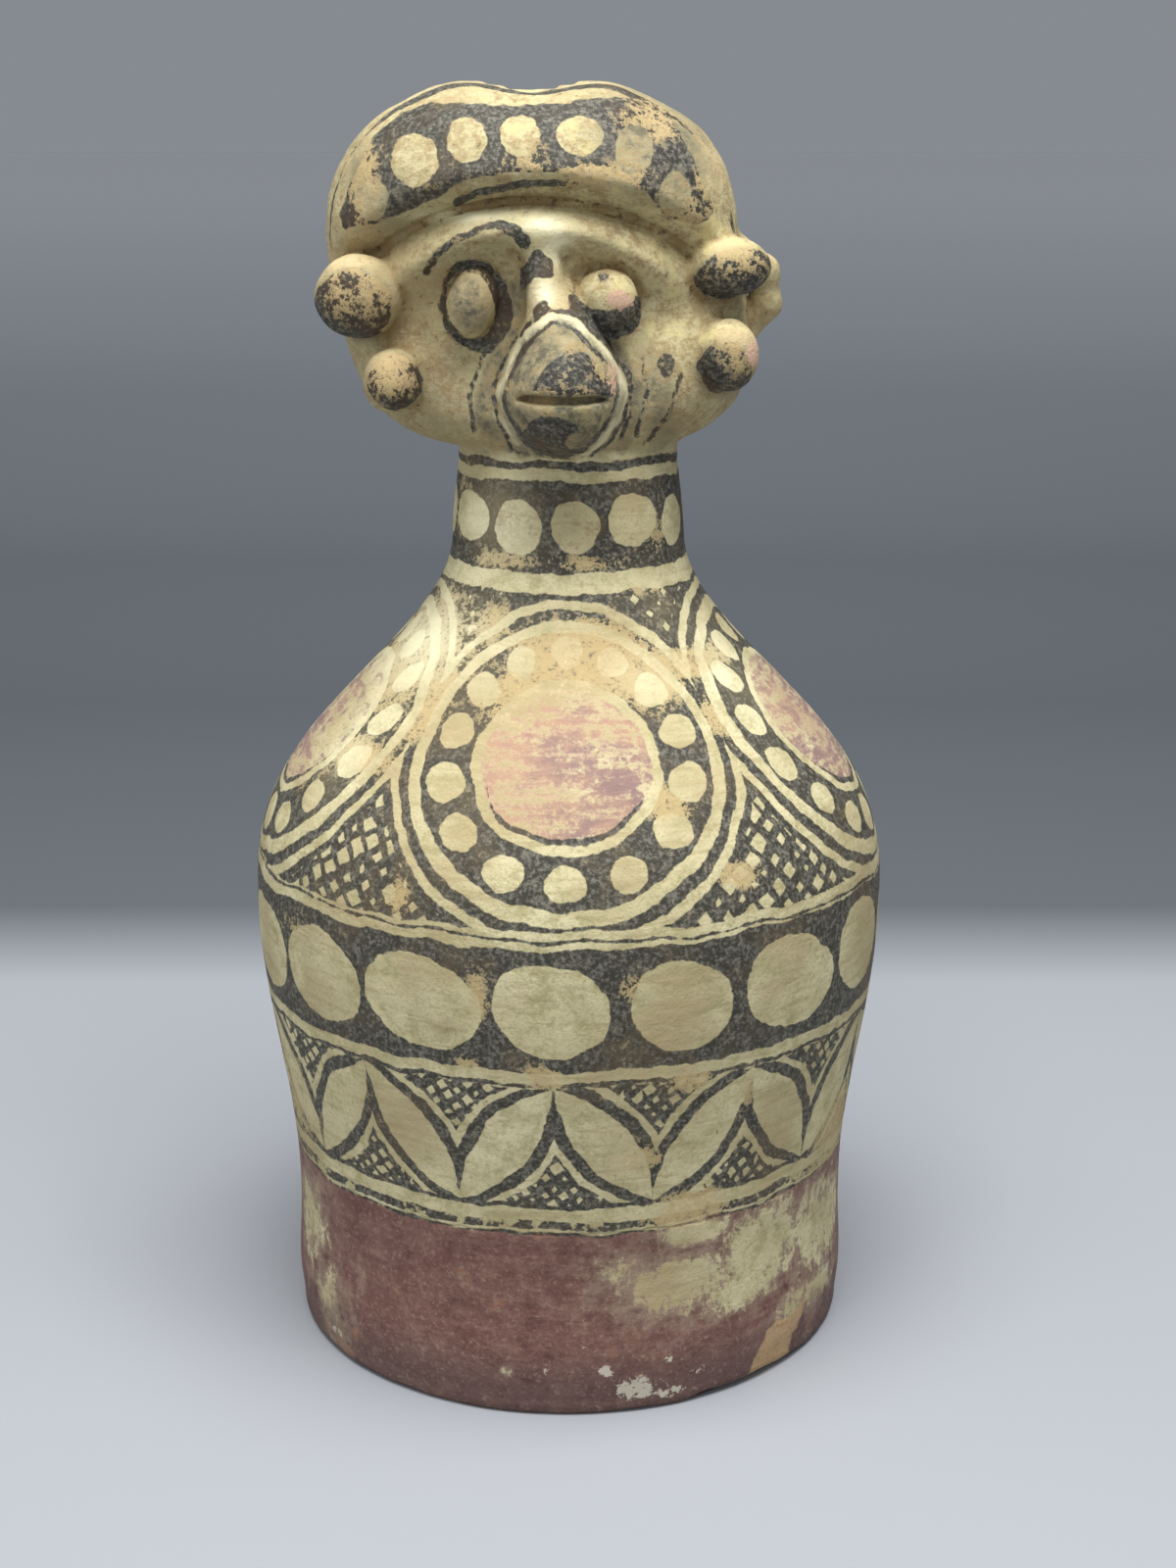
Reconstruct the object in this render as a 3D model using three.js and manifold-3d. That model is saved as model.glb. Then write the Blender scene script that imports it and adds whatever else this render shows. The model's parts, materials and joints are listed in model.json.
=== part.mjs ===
// A hollow vessel of painted fired clay with a modelled head, made as one piece.
// Units are millimetres. +Z is up, the face looks along -Y, +X is the viewer's right.
// The open foot stands on z = 0, and the axis of the thrown body is the Z axis.

import * as THREE from 'three';
import { mergeVertices } from 'three/addons/utils/BufferGeometryUtils.js';
import Module from 'manifold-3d';

const wasm = await Module();
wasm.setup();

// Driving dimensions of the thrown body. Every radius is to the outside.
const footRadius = 64.3;
const footSwellRadius = 65.1;
const footSwellHeight = 11;
const waistRadius = 64.4;
const waistHeight = 30;
const bellyRadius = 71.9;
const bellyHeight = 102;
const neckRadius = 26;
const neckHeight = 184;
const throatRadius = 24.3;
const throatHeight = 204;
const shoulderFullness = 1.28;

// The clay wall, and how far the hollow runs up inside the head.
const wall = 6;
const rimRounding = 1.2;
const headHollowRise = 34;

// The head, measured from the throat. Its outline is wide, flat behind and round on top.
const headHeight = 76;
const headHalfWidth = 44.4;
const headHalfDepth = 32;
const headMiddleRise = 41;
const headSink = 1;
const crownLean = -7.6;
const jawLean = -3;
const crownFullness = 2.6;
const jawFullness = 3.7;
const planFullness = 2.2;

// The crown has two soft lobes with a saddle between them.
const lobeSpread = 16;
const lobeRise = 1.2;
const lobeWidth = 8;
const saddleDrop = 2.2;
const saddleWidth = 7;

// The headband stands proud of the face, which is sunk inside an arch below it.
const faceMiddleX = -7;
const faceMiddleRise = 28;
const faceHalfWidth = 40;
const faceArchHeight = 25;
const faceJawDepth = 23;
const faceRecess = 7.5;
const bandEdge = 1.28;
const grooveEdge = 0.93;
const jawEdge = 0.45;
const browRise = 3.6;
const browPlace = 0.71;
const browWidth = 0.13;
const socketDepth = 2.5;
const socketRadius = 9;

// Eyes: pinched pellets pressed into the sockets.
const eyePellets = [
  { x: -19.6, rise: 32.6, wide: 5.4, tall: 7.7, thick: 5.4, tilt: 16 },
  { x: 9.2, rise: 33, wide: 6.6, tall: 6.4, thick: 5.6, tilt: -10 },
];

// Ears: two pellets on each side, and on the viewer's right a curled flange behind them.
const earPellets = [
  { x: -46.6, rise: 33, wide: 8.5, tall: 8.6, thick: 7.5, proud: 0.5 },
  { x: -38, rise: 14.4, wide: 6.2, tall: 6.6, thick: 6, proud: 1 },
  { x: 35.6, rise: 38, wide: 9, tall: 6.6, thick: 7.6, proud: 0.5 },
  { x: 34.8, rise: 20, wide: 6.9, tall: 6.9, thick: 6.6, proud: 1.4 },
];
const flange = { x: 38.4, y: 3.5, rise: 32.5, wide: 8.9, thick: 5.2, tall: 11.2 };

// A nose ridge runs down from the brow into a drop-shaped snout with a mouth slit.
const bridge = { x: -5.4, rise: 45, radius: 4.2 };
const ridgeFoot = { x: -2.6, rise: 30, radius: 5.6 };
const snout = { x: -0.6, rise: 13.4, halfWidth: 13.4, ahead: 21, up: 24, down: 13.6 };
const snoutTaper = 1.3;
const snoutSlope = 1.8;
const mouthRise = 14.8;
const mouthHalfWidth = 13;
const mouthSweep = 12;
const mouthGape = 2;
const mouthDepth = 2.2;

// A shell-shaped chip is broken out of the rim at the front right.
const rimChip = { around: 41, wide: 17, deep: 3, tall: 3.2 };

// Smoothness of the facets.
const bodySides = 44;
const hollowSides = 36;
const headColumns = 44;
const faceRings = 9;
const bandRings = 6;
const backRings = 7;
const snoutSides = 20;
const snoutRows = 14;
const pelletSides = 14;
const pelletRows = 8;

const clay = new THREE.MeshStandardMaterial({
  color: 0xb9a77c,
  roughness: 0.85,
  metalness: 0,
});
clay.name = 'painted_clay';

const easeInOut = (t) => (1 - Math.cos(Math.PI * t)) / 2;
const clampUnit = (t) => Math.min(1, Math.max(0, t));
const smoothStep = (from, to, value) => {
  const t = clampUnit((value - from) / (to - from));
  return t * t * (3 - 2 * t);
};
const bell = (distance, width) => Math.exp(-((distance / width) ** 2));

// The body is a chain of eased curves from one named height to the next.
const bodyStations = [
  { z: 0, r: footRadius, steps: 1, lag: 1 },
  { z: footSwellHeight, r: footSwellRadius, steps: 1, lag: 1 },
  { z: waistHeight, r: waistRadius, steps: 6, lag: 1 },
  { z: bellyHeight, r: bellyRadius, steps: 12, lag: shoulderFullness },
  { z: neckHeight, r: neckRadius, steps: 1, lag: 1 },
  { z: throatHeight, r: throatRadius, steps: 1, lag: 1 },
];

// Fineness 1 gives every step, and a half gives a plainer outline for the hollow.
function bodyOutline(fineness) {
  const points = [];
  for (let i = 0; i + 1 < bodyStations.length; i += 1) {
    const low = bodyStations[i];
    const high = bodyStations[i + 1];
    const steps = Math.max(1, Math.round(low.steps * fineness));
    for (let k = 0; k < steps; k += 1) {
      const t = k / steps;
      const radius = low.r + (high.r - low.r) * easeInOut(t ** low.lag);
      points.push(new THREE.Vector2(radius, low.z + (high.z - low.z) * t));
    }
  }
  points.push(new THREE.Vector2(throatRadius, throatHeight));
  return points;
}

// The inside of the wall follows the outline, one wall thickness in from it.
function hollowOutline(outline) {
  return outline.map((point, i) => {
    const before = outline[Math.max(0, i - 1)];
    const after = outline[Math.min(outline.length - 1, i + 1)];
    const along = after.clone().sub(before).normalize();
    return new THREE.Vector2(point.x - wall * along.y, point.y + wall * along.x);
  });
}

// Merges a geometry's seam and poles, which is done before its points are moved.
function seamless(geometry) {
  geometry.deleteAttribute('normal');
  geometry.deleteAttribute('uv');
  return mergeVertices(geometry, 1e-4);
}

// Turns a seamless closed geometry into a solid that can be joined and cut.
function solidOf(geometry) {
  const mesh = new wasm.Mesh({
    numProp: 3,
    vertProperties: new Float32Array(geometry.attributes.position.array),
    triVerts: new Uint32Array(geometry.index.array),
  });
  return new wasm.Manifold(mesh);
}

// A lathe turns about Y, so its upright axis is laid over onto Z.
function turned(points, sides) {
  return seamless(new THREE.LatheGeometry(points, sides)).rotateX(Math.PI / 2);
}

// A sphere of radius one whose poles lie on Z.
function ball(sides, rows) {
  return seamless(new THREE.SphereGeometry(1, sides, rows)).rotateX(Math.PI / 2);
}

// The blank closes in a cone that stays buried in the head.
function bodyBlank() {
  const outline = bodyOutline(1);
  const rim = [
    new THREE.Vector2(0, 0),
    new THREE.Vector2(footRadius - rimRounding, 0),
    new THREE.Vector2(footRadius, rimRounding),
  ];
  const top = new THREE.Vector2(0, throatHeight + headHeight / 4);
  return solidOf(turned([...rim, ...outline.slice(1), top], bodySides));
}

function hollow() {
  const below = -wall;
  const inside = hollowOutline(bodyOutline(0.5)).slice(2);
  const throat = inside[inside.length - 1];
  const rimRadius = footRadius - wall;
  const dome = [];
  const domeSteps = 4;
  for (let k = 1; k <= domeSteps; k += 1) {
    const angle = (k / domeSteps) * (Math.PI / 2);
    const radius = k === domeSteps ? 0 : throat.x * Math.cos(angle) ** 0.6;
    dome.push(new THREE.Vector2(radius, throat.y + headHollowRise * Math.sin(angle)));
  }
  const mouth = [
    new THREE.Vector2(0, below),
    new THREE.Vector2(rimRadius, below),
    new THREE.Vector2(rimRadius, rimRounding),
  ];
  return solidOf(turned([...mouth, ...inside, ...dome], hollowSides));
}

// The head's half width and half depth shrink together towards the crown and the jaw.
function headShare(rise) {
  const above = rise >= headMiddleRise;
  const reach = above ? headHeight - headMiddleRise : headMiddleRise + headSink;
  const fullness = above ? crownFullness : jawFullness;
  const t = clampUnit(Math.abs(rise - headMiddleRise) / reach);
  return (1 - t ** fullness) ** (1 / fullness);
}

function headMiddleX(rise) {
  const share = smoothStep(headHeight * 0.1, headHeight * 0.63, rise);
  return jawLean + (crownLean - jawLean) * share;
}

// How far out a place lies, where 1 is the arch that bounds the sunk face.
function faceReach(x, rise) {
  const up = rise - faceMiddleRise;
  const tall = up > 0 ? faceArchHeight : faceJawDepth;
  return Math.hypot((x - faceMiddleX) / faceHalfWidth, up / tall);
}

// How far the face lies behind the headband at a place seen from the front.
function recessAt(x, rise) {
  const reach = faceReach(x, rise);
  const inner = rise > faceMiddleRise ? grooveEdge : jawEdge;
  const sunk = faceRecess * smoothStep(bandEdge, inner, reach);
  const arched = smoothStep(0, faceArchHeight / 2, rise - faceMiddleRise);
  const brow = browRise * bell(reach - browPlace, browWidth) * arched;
  const socket = eyePellets.reduce((sum, eye) => {
    const away = Math.hypot(x - eye.x, rise - eye.rise);
    return sum + socketDepth * bell(away, socketRadius);
  }, 0);
  return sunk - brow + socket;
}

// The front of the plain head, and of the sunk face, as Y values.
function frontY(x, rise) {
  const share = headShare(rise);
  const across = clampUnit(Math.abs(x - headMiddleX(rise)) / Math.max(headHalfWidth * share, 1e-6));
  return -headHalfDepth * share * (1 - across ** planFullness) ** (1 / planFullness);
}

function faceY(x, rise) {
  const front = frontY(x, rise);
  return front + recessAt(x, rise) * smoothStep(0, headHalfDepth / 2, -front);
}

// How far the outline lies from the middle of the face along one direction.
function outlineReach(sideways, upward) {
  let inside = 0;
  let outside = headHeight + headHalfWidth;
  for (let step = 0; step < 40; step += 1) {
    const middle = (inside + outside) / 2;
    const rise = faceMiddleRise + upward * middle;
    const x = faceMiddleX + sideways * middle;
    const within = Math.abs(x - headMiddleX(rise)) < headHalfWidth * headShare(rise);
    inside = within ? middle : inside;
    outside = within ? outside : middle;
  }
  return inside;
}

function crownLift(x, share) {
  const fromMiddle = x - crownLean;
  const lobes = bell(fromMiddle - lobeSpread, lobeWidth) + bell(fromMiddle + lobeSpread, lobeWidth);
  const lift = lobeRise * lobes - saddleDrop * bell(fromMiddle, saddleWidth);
  return lift * smoothStep(0.95, 0.5, share);
}

// Rings round the middle of the face: first to the band's edge, then to the outline,
// then back in over the rear of the head.
function ringReach(ring, sideways, upward) {
  const outline = outlineReach(sideways, upward);
  const tall = upward > 0 ? faceArchHeight : faceJawDepth;
  const arch = bandEdge / Math.hypot(sideways / faceHalfWidth, upward / tall);
  const edge = Math.min(arch, outline * 0.93);
  const quarter = Math.PI / 2;
  if (ring <= faceRings) {
    return edge * Math.sin((ring / faceRings) * quarter);
  }
  const past = ring - faceRings;
  if (past <= bandRings) {
    return edge + (outline - edge) * Math.sin((past / bandRings) * quarter);
  }
  return outline * Math.cos(((past - bandRings) / backRings) * quarter);
}

function headCore() {
  const rings = faceRings + bandRings + backRings;
  const geometry = ball(headColumns, rings).rotateX(Math.PI / 2);
  const place = geometry.attributes.position;
  for (let i = 0; i < place.count; i += 1) {
    const fromPole = Math.acos(THREE.MathUtils.clamp(-place.getY(i), -1, 1));
    const ring = Math.round((fromPole / Math.PI) * rings);
    const away = Math.hypot(place.getX(i), place.getZ(i)) || 1;
    const sideways = place.getX(i) / away;
    const upward = place.getZ(i) / away;
    const pole = ring === 0 || ring === rings;
    const reach = pole ? 0 : ringReach(ring, sideways, upward);
    const x = faceMiddleX + sideways * reach;
    const rise = faceMiddleRise + upward * reach;
    const front = ring <= faceRings + bandRings;
    const y = front ? faceY(x, rise) : -frontY(x, rise);
    const lift = crownLift(x, headShare(rise));
    place.setXYZ(i, x, y, throatHeight + rise + lift);
  }
  return solidOf(geometry);
}

function pellet(x, y, rise, wide, thick, tall, tilt = 0) {
  const geometry = ball(pelletSides, pelletRows);
  geometry.scale(wide, thick, tall);
  geometry.rotateY(THREE.MathUtils.degToRad(tilt));
  geometry.translate(x, y, throatHeight + rise);
  return solidOf(geometry);
}

function eyes() {
  return eyePellets.map((eye) => {
    const y = faceY(eye.x, eye.rise) - eye.thick / 2;
    return pellet(eye.x, y, eye.rise, eye.wide, eye.thick, eye.tall, eye.tilt);
  });
}

function ears() {
  const pellets = earPellets.map((ear) => {
    const y = frontY(ear.x, ear.rise) - ear.proud;
    return pellet(ear.x, y, ear.rise, ear.wide, ear.thick, ear.tall);
  });
  const curl = pellet(flange.x, flange.y, flange.rise, flange.wide, flange.thick, flange.tall);
  return [...pellets, curl];
}

// A tapered bar of clay with round ends, lying between two balls.
function tapered(from, to) {
  const length = from.centre.distanceTo(to.centre);
  const points = [];
  const endSteps = 3;
  for (let k = 0; k <= endSteps; k += 1) {
    const angle = (k / endSteps) * (Math.PI / 2);
    const radius = k === 0 ? 0 : from.radius * Math.sin(angle);
    points.push(new THREE.Vector2(radius, -from.radius * Math.cos(angle)));
  }
  for (let k = 0; k <= endSteps; k += 1) {
    const angle = (k / endSteps) * (Math.PI / 2);
    const radius = k === endSteps ? 0 : to.radius * Math.cos(angle);
    points.push(new THREE.Vector2(radius, length + to.radius * Math.sin(angle)));
  }
  const geometry = seamless(new THREE.LatheGeometry(points, pelletSides));
  const direction = to.centre.clone().sub(from.centre).normalize();
  const turn = new THREE.Quaternion().setFromUnitVectors(new THREE.Vector3(0, 1, 0), direction);
  geometry.applyQuaternion(turn);
  geometry.translate(from.centre.x, from.centre.y, from.centre.z);
  return solidOf(geometry);
}

function noseRidge() {
  const end = (spot) => {
    const y = faceY(spot.x, spot.rise) - spot.radius / 3;
    return { centre: new THREE.Vector3(spot.x, y, throatHeight + spot.rise), radius: spot.radius };
  };
  return tapered(end(bridge), end(ridgeFoot));
}

// A drop seen from the front: pointed above, round below, and standing out of the face.
function snoutDrop() {
  const geometry = ball(snoutSides, snoutRows);
  const place = geometry.attributes.position;
  const faceLevel = faceY(snout.x, snout.rise + snout.up / 2);
  for (let i = 0; i < place.count; i += 1) {
    const level = THREE.MathUtils.clamp(place.getZ(i), -1, 1);
    const ring = Math.hypot(place.getX(i), place.getY(i)) || 1;
    const above = level > 0;
    const round = Math.sqrt(1 - level ** 2);
    const width = above ? 1 - level ** snoutTaper : round;
    const ahead = above ? 1 - level ** snoutSlope : round;
    const x = snout.x + (place.getX(i) / ring) * snout.halfWidth * width;
    const y = faceLevel + (place.getY(i) / ring) * snout.ahead * ahead;
    const rise = snout.rise + level * (above ? snout.up : snout.down);
    place.setXYZ(i, x, y, throatHeight + rise);
  }
  return solidOf(geometry);
}

// The mouth is a flat groove round the front of the snout, of one depth all along.
function mouthSlit() {
  const level = faceY(snout.x, snout.rise + snout.up / 2);
  const lens = pellet(snout.x, level - snout.ahead, mouthRise, mouthHalfWidth, mouthSweep, mouthGape / 2);
  const left = snout.halfWidth - mouthDepth;
  const core = pellet(snout.x, level, mouthRise, left, snout.ahead - mouthDepth, snout.down);
  return lens.subtract(core);
}

function chip() {
  const angle = THREE.MathUtils.degToRad(rimChip.around);
  const geometry = ball(pelletSides, pelletRows);
  geometry.scale(rimChip.wide / 2, rimChip.deep, rimChip.tall);
  geometry.rotateZ(angle);
  geometry.translate(footRadius * Math.sin(angle), -footRadius * Math.cos(angle), 0);
  return solidOf(geometry);
}

// Hands the finished solid back as one geometry with flat facets.
function geometryOf(solid) {
  const mesh = solid.getMesh();
  const geometry = new THREE.BufferGeometry();
  geometry.setAttribute('position', new THREE.BufferAttribute(mesh.vertProperties, 3));
  geometry.setIndex(new THREE.BufferAttribute(mesh.triVerts, 1));
  const flat = geometry.toNonIndexed();
  flat.computeVertexNormals();
  return flat;
}

function vessel() {
  let solid = bodyBlank().add(headCore());
  for (const piece of [noseRidge(), snoutDrop(), ...eyes(), ...ears()]) {
    solid = solid.add(piece);
  }
  for (const cut of [hollow(), mouthSlit(), chip()]) {
    solid = solid.subtract(cut);
  }
  return solid;
}

const rhyton = new THREE.Mesh(geometryOf(vessel()), clay);
rhyton.name = 'rhyton';

const group = new THREE.Group();
group.add(rhyton);

export default group;
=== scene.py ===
# %% [markdown]
# # A painted clay rhyton with a modelled head
# The vessel was thrown hollow on a slow wheel, its head was built up from lumps and pellets
# of clay, and then it was dipped in cream slip, painted in black and plum red, and fired.
# This lesson follows the same order: throw the wall, model the head, join them, cut the
# hollow, and paint. The first step loads the measured solid that everything has to fit.

# %% Load the measured solid
import json
import math

import bpy
import numpy as np
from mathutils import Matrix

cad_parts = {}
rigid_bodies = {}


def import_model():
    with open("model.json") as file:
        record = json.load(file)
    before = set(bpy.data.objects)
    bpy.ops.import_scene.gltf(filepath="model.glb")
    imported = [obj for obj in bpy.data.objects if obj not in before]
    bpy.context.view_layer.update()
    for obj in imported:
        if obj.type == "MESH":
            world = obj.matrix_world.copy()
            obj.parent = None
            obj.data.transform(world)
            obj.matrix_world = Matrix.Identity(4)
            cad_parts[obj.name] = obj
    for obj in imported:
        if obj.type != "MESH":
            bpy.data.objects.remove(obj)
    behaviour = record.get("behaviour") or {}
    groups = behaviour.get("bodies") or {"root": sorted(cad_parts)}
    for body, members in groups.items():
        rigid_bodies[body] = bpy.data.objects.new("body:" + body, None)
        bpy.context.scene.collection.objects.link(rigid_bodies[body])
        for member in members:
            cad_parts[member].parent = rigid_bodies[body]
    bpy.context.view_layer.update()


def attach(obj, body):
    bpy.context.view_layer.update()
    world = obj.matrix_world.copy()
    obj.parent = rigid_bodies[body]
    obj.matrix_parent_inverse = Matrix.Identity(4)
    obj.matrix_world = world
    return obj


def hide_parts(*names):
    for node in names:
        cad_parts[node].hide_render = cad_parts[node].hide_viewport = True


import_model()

MM = 0.001
scene = bpy.context.scene


# %% [markdown]
# ## Camera
# The photograph was taken from about half a metre away, a hand's breadth above the shoulder
# and looking a little down, with a moderately long lens. Level rings painted round the body
# look like ellipses, and how open they are gives the camera's height and tilt.

# %% Place the camera
PHOTO_HEIGHT_PX = 1600
FOCAL_LENGTH_PX = 2402.8
FILM_MM = 36.0
CAMERA_PLACE_MM = (4.4, -521.7, 269.8)
CAMERA_TILT_DEG = 90 - 15.5


def make_camera():
    lens = bpy.data.cameras.new("camera")
    lens.sensor_fit = "VERTICAL"
    lens.sensor_height = FILM_MM
    lens.lens = FOCAL_LENGTH_PX / PHOTO_HEIGHT_PX * FILM_MM
    lens.clip_start = 0.01
    camera = bpy.data.objects.new("camera", lens)
    camera.location = [v * MM for v in CAMERA_PLACE_MM]
    camera.rotation_euler = (math.radians(CAMERA_TILT_DEG), 0, 0)
    scene.collection.objects.link(camera)
    scene.camera = camera
    return camera


camera = make_camera()
print("lens, mm:", round(camera.data.lens, 1))


# %% [markdown]
# ## Arithmetic with nodes
# Both the thrown wall and the painting are worked out by nodes that add and multiply
# numbers. Wiring Math nodes by hand is slow to read, so this small class lets a line of
# ordinary arithmetic build the nodes: every plus or minus adds one Math node to the tree.

# %% Write node trees as arithmetic
class Wire:
    """A number running through a node tree."""

    def __init__(self, tree, socket):
        self.tree = tree
        self.socket = socket

    def math(self, operation, *others):
        node = self.tree.nodes.new("ShaderNodeMath")
        node.operation = operation
        for slot, value in zip(node.inputs, (self, *others)):
            if isinstance(value, Wire):
                self.tree.links.new(value.socket, slot)
            else:
                slot.default_value = value
        return Wire(self.tree, node.outputs[0])

    def __add__(self, other):
        return self.math("ADD", other)

    def __sub__(self, other):
        return self.math("SUBTRACT", other)

    def __mul__(self, other):
        return self.math("MULTIPLY", other)

    def __truediv__(self, other):
        return self.math("DIVIDE", other)

    def __pow__(self, other):
        return self.math("POWER", other)

    def __neg__(self):
        return self.math("MULTIPLY", -1.0)

    def __abs__(self):
        return self.math("ABSOLUTE")

    def __rsub__(self, other):
        return (-self) + other

    __radd__ = __add__
    __rmul__ = __mul__

    def held(self, low=0.0, high=1.0):
        return self.math("MAXIMUM", low).math("MINIMUM", high)

    def step(self, start, end):
        """Runs from 0 to 1 as the number goes from start to end."""
        node = self.tree.nodes.new("ShaderNodeMapRange")
        node.interpolation_type = "SMOOTHSTEP"
        flipped = start > end
        for name, value in (("From Min", min(start, end)), ("From Max", max(start, end)),
                            ("To Min", float(flipped)), ("To Max", float(not flipped))):
            node.inputs[name].default_value = value
        self.tree.links.new(self.socket, node.inputs["Value"])
        return Wire(self.tree, node.outputs["Result"])


def most(*wires):
    result = wires[0]
    for other in wires[1:]:
        result = result.math("MAXIMUM", other)
    return result


def least(*wires):
    result = wires[0]
    for other in wires[1:]:
        result = result.math("MINIMUM", other)
    return result


trial = bpy.data.node_groups.new("trial", "ShaderNodeTree")
value = Wire(trial, trial.nodes.new("ShaderNodeValue").outputs[0])
last = (value * 2 + 1).socket.node
print("value * 2 + 1 ends in the node", last.operation, "and needs", len(trial.nodes), "nodes")
bpy.data.node_groups.remove(trial)


# %% [markdown]
# ## The thrown wall
# A potter raises a cylinder of clay and pushes it in and out while it turns. The same idea
# works here: a cylinder primitive is the raw clay, and each of its rings is pushed to the
# radius that the outline has at that height. The outline is a chain of eased curves from one
# named station to the next, so it can be changed by a few numbers. Geometry Nodes suit this,
# because one tree makes both the outside and, moved in by the wall, the hollow.

# %% Name the stations of the outline
STATIONS = ("Rim", "Foot", "Swell", "Waist", "Belly", "Neck", "Throat", "Collar", "Top")
WALL_MM = 6.0
SHOULDER_FULLNESS = 1.28
THROAT_MM = 204.0
OUTSIDE = {
    "Rim": (0.0, 63.3), "Foot": (1.3, 64.3), "Swell": (11.0, 65.1), "Waist": (30.0, 64.4),
    "Belly": (102.0, 71.9), "Neck": (184.0, 26.0), "Throat": (THROAT_MM, 24.3),
    "Collar": (THROAT_MM + 10, 15.0), "Top": (THROAT_MM + 18, 1.0),
}
HOLLOW = {
    **OUTSIDE, "Rim": (-9.0, 64.3), "Foot": (1.0, 64.3),
    "Collar": (THROAT_MM + 24, 23.0), "Top": (THROAT_MM + 40, 6.6),
}
print("stations from the foot up:", ", ".join(STATIONS))


# %% [markdown]
# ### The radius at a height
# Between two stations the wall eases from one radius to the next along half a cosine wave,
# much as a wooden rib held against the turning clay leaves it. The steps are added together,
# so one sum gives the radius at any height. Every height and radius is a named input of the
# tree, and the shoulder is made a little fuller than a cosine by raising its share to a power.

# %% Work out the radius at a height
def outline_radius(height, source):
    """The radius in mm at a height in mm, as nodes, from the tree's named inputs."""
    radius = source("Rim Radius")
    for low, high in zip(STATIONS, STATIONS[1:]):
        span = source(f"{high} Height") - source(f"{low} Height")
        part = ((height - source(f"{low} Height")) / span).held()
        if low == "Belly":
            part = part ** source("Shoulder Fullness")
        eased = 0.5 - (part * math.pi).math("COSINE") * 0.5
        radius = radius + (source(f"{high} Radius") - source(f"{low} Radius")) * eased
    return radius


def wall_inputs(tree):
    sizes = {f"{station} {what}": start for station in STATIONS
             for what, start in (("Height", 0.0), ("Radius", 1.0))}
    sizes.update({"Shoulder Fullness": 1.0, "Inset": 0.0, "Unevenness": 0.0})
    sizes.update({"Sides": 48, "Rings": 48})
    for name, start in sizes.items():
        kind = "NodeSocketInt" if isinstance(start, int) else "NodeSocketFloat"
        socket = tree.interface.new_socket(name=name, in_out="INPUT", socket_type=kind)
        socket.default_value = start
    tree.interface.new_socket(name="Clay", in_out="INPUT", socket_type="NodeSocketMaterial")
    print("named inputs of the wall:", len(sizes) + 1)
    return tree.nodes.new("NodeGroupInput")


# %% [markdown]
# ### Raw clay and fingers
# The raw clay is a cylinder one unit wide and one unit high. Real walls are never quite
# even, because fingers press a little more here and less there, so a slow noise that
# stretches along the height takes up to half a millimetre off.

# %% Prepare the clay and the finger marks
DENTS_AROUND, DENTS_UP = 2.2, 0.045


def raw_cylinder(tree, inputs):
    lump = tree.nodes.new("GeometryNodeMeshCylinder")
    lump.fill_type = "NGON"
    lump.inputs["Radius"].default_value = 1.0
    lump.inputs["Depth"].default_value = 1.0
    tree.links.new(inputs.outputs["Sides"], lump.inputs["Vertices"])
    tree.links.new(inputs.outputs["Rings"], lump.inputs["Side Segments"])
    return lump.outputs["Mesh"]


def as_place(tree, *wires):
    """Three numbers put together as one place."""
    node = tree.nodes.new("ShaderNodeCombineXYZ")
    for slot, wire in zip(node.inputs, wires):
        tree.links.new(wire.socket, slot)
    return node.outputs[0]


def finger_dents(tree, across, back, height):
    finger = tree.nodes.new("ShaderNodeTexNoise")
    finger.inputs["Scale"].default_value = 1.0
    finger.inputs["Detail"].default_value = 2.0
    place = as_place(tree, across * DENTS_AROUND, back * DENTS_AROUND, height * DENTS_UP)
    tree.links.new(place, finger.inputs["Vector"])
    return Wire(tree, finger.outputs[0])


print("a finger mark is about as tall as, mm:", round(1 / DENTS_UP))


# %% [markdown]
# ### The tree that throws
# Set Position moves each vertex of the cylinder out to the outline's radius, less the finger
# mark. A second Set Position then draws the skin inwards along its normal, which is how the
# same tree makes the hollow one wall's thickness inside. Realize Instances and Set Material
# end the tree, so that what leaves it is plain mesh with its clay on.

# %% Build the tree that throws
def move_skin(tree, geometry, slot, vector):
    node = tree.nodes.new("GeometryNodeSetPosition")
    tree.links.new(geometry, node.inputs["Geometry"])
    tree.links.new(vector, node.inputs[slot])
    return node.outputs[0]


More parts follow.
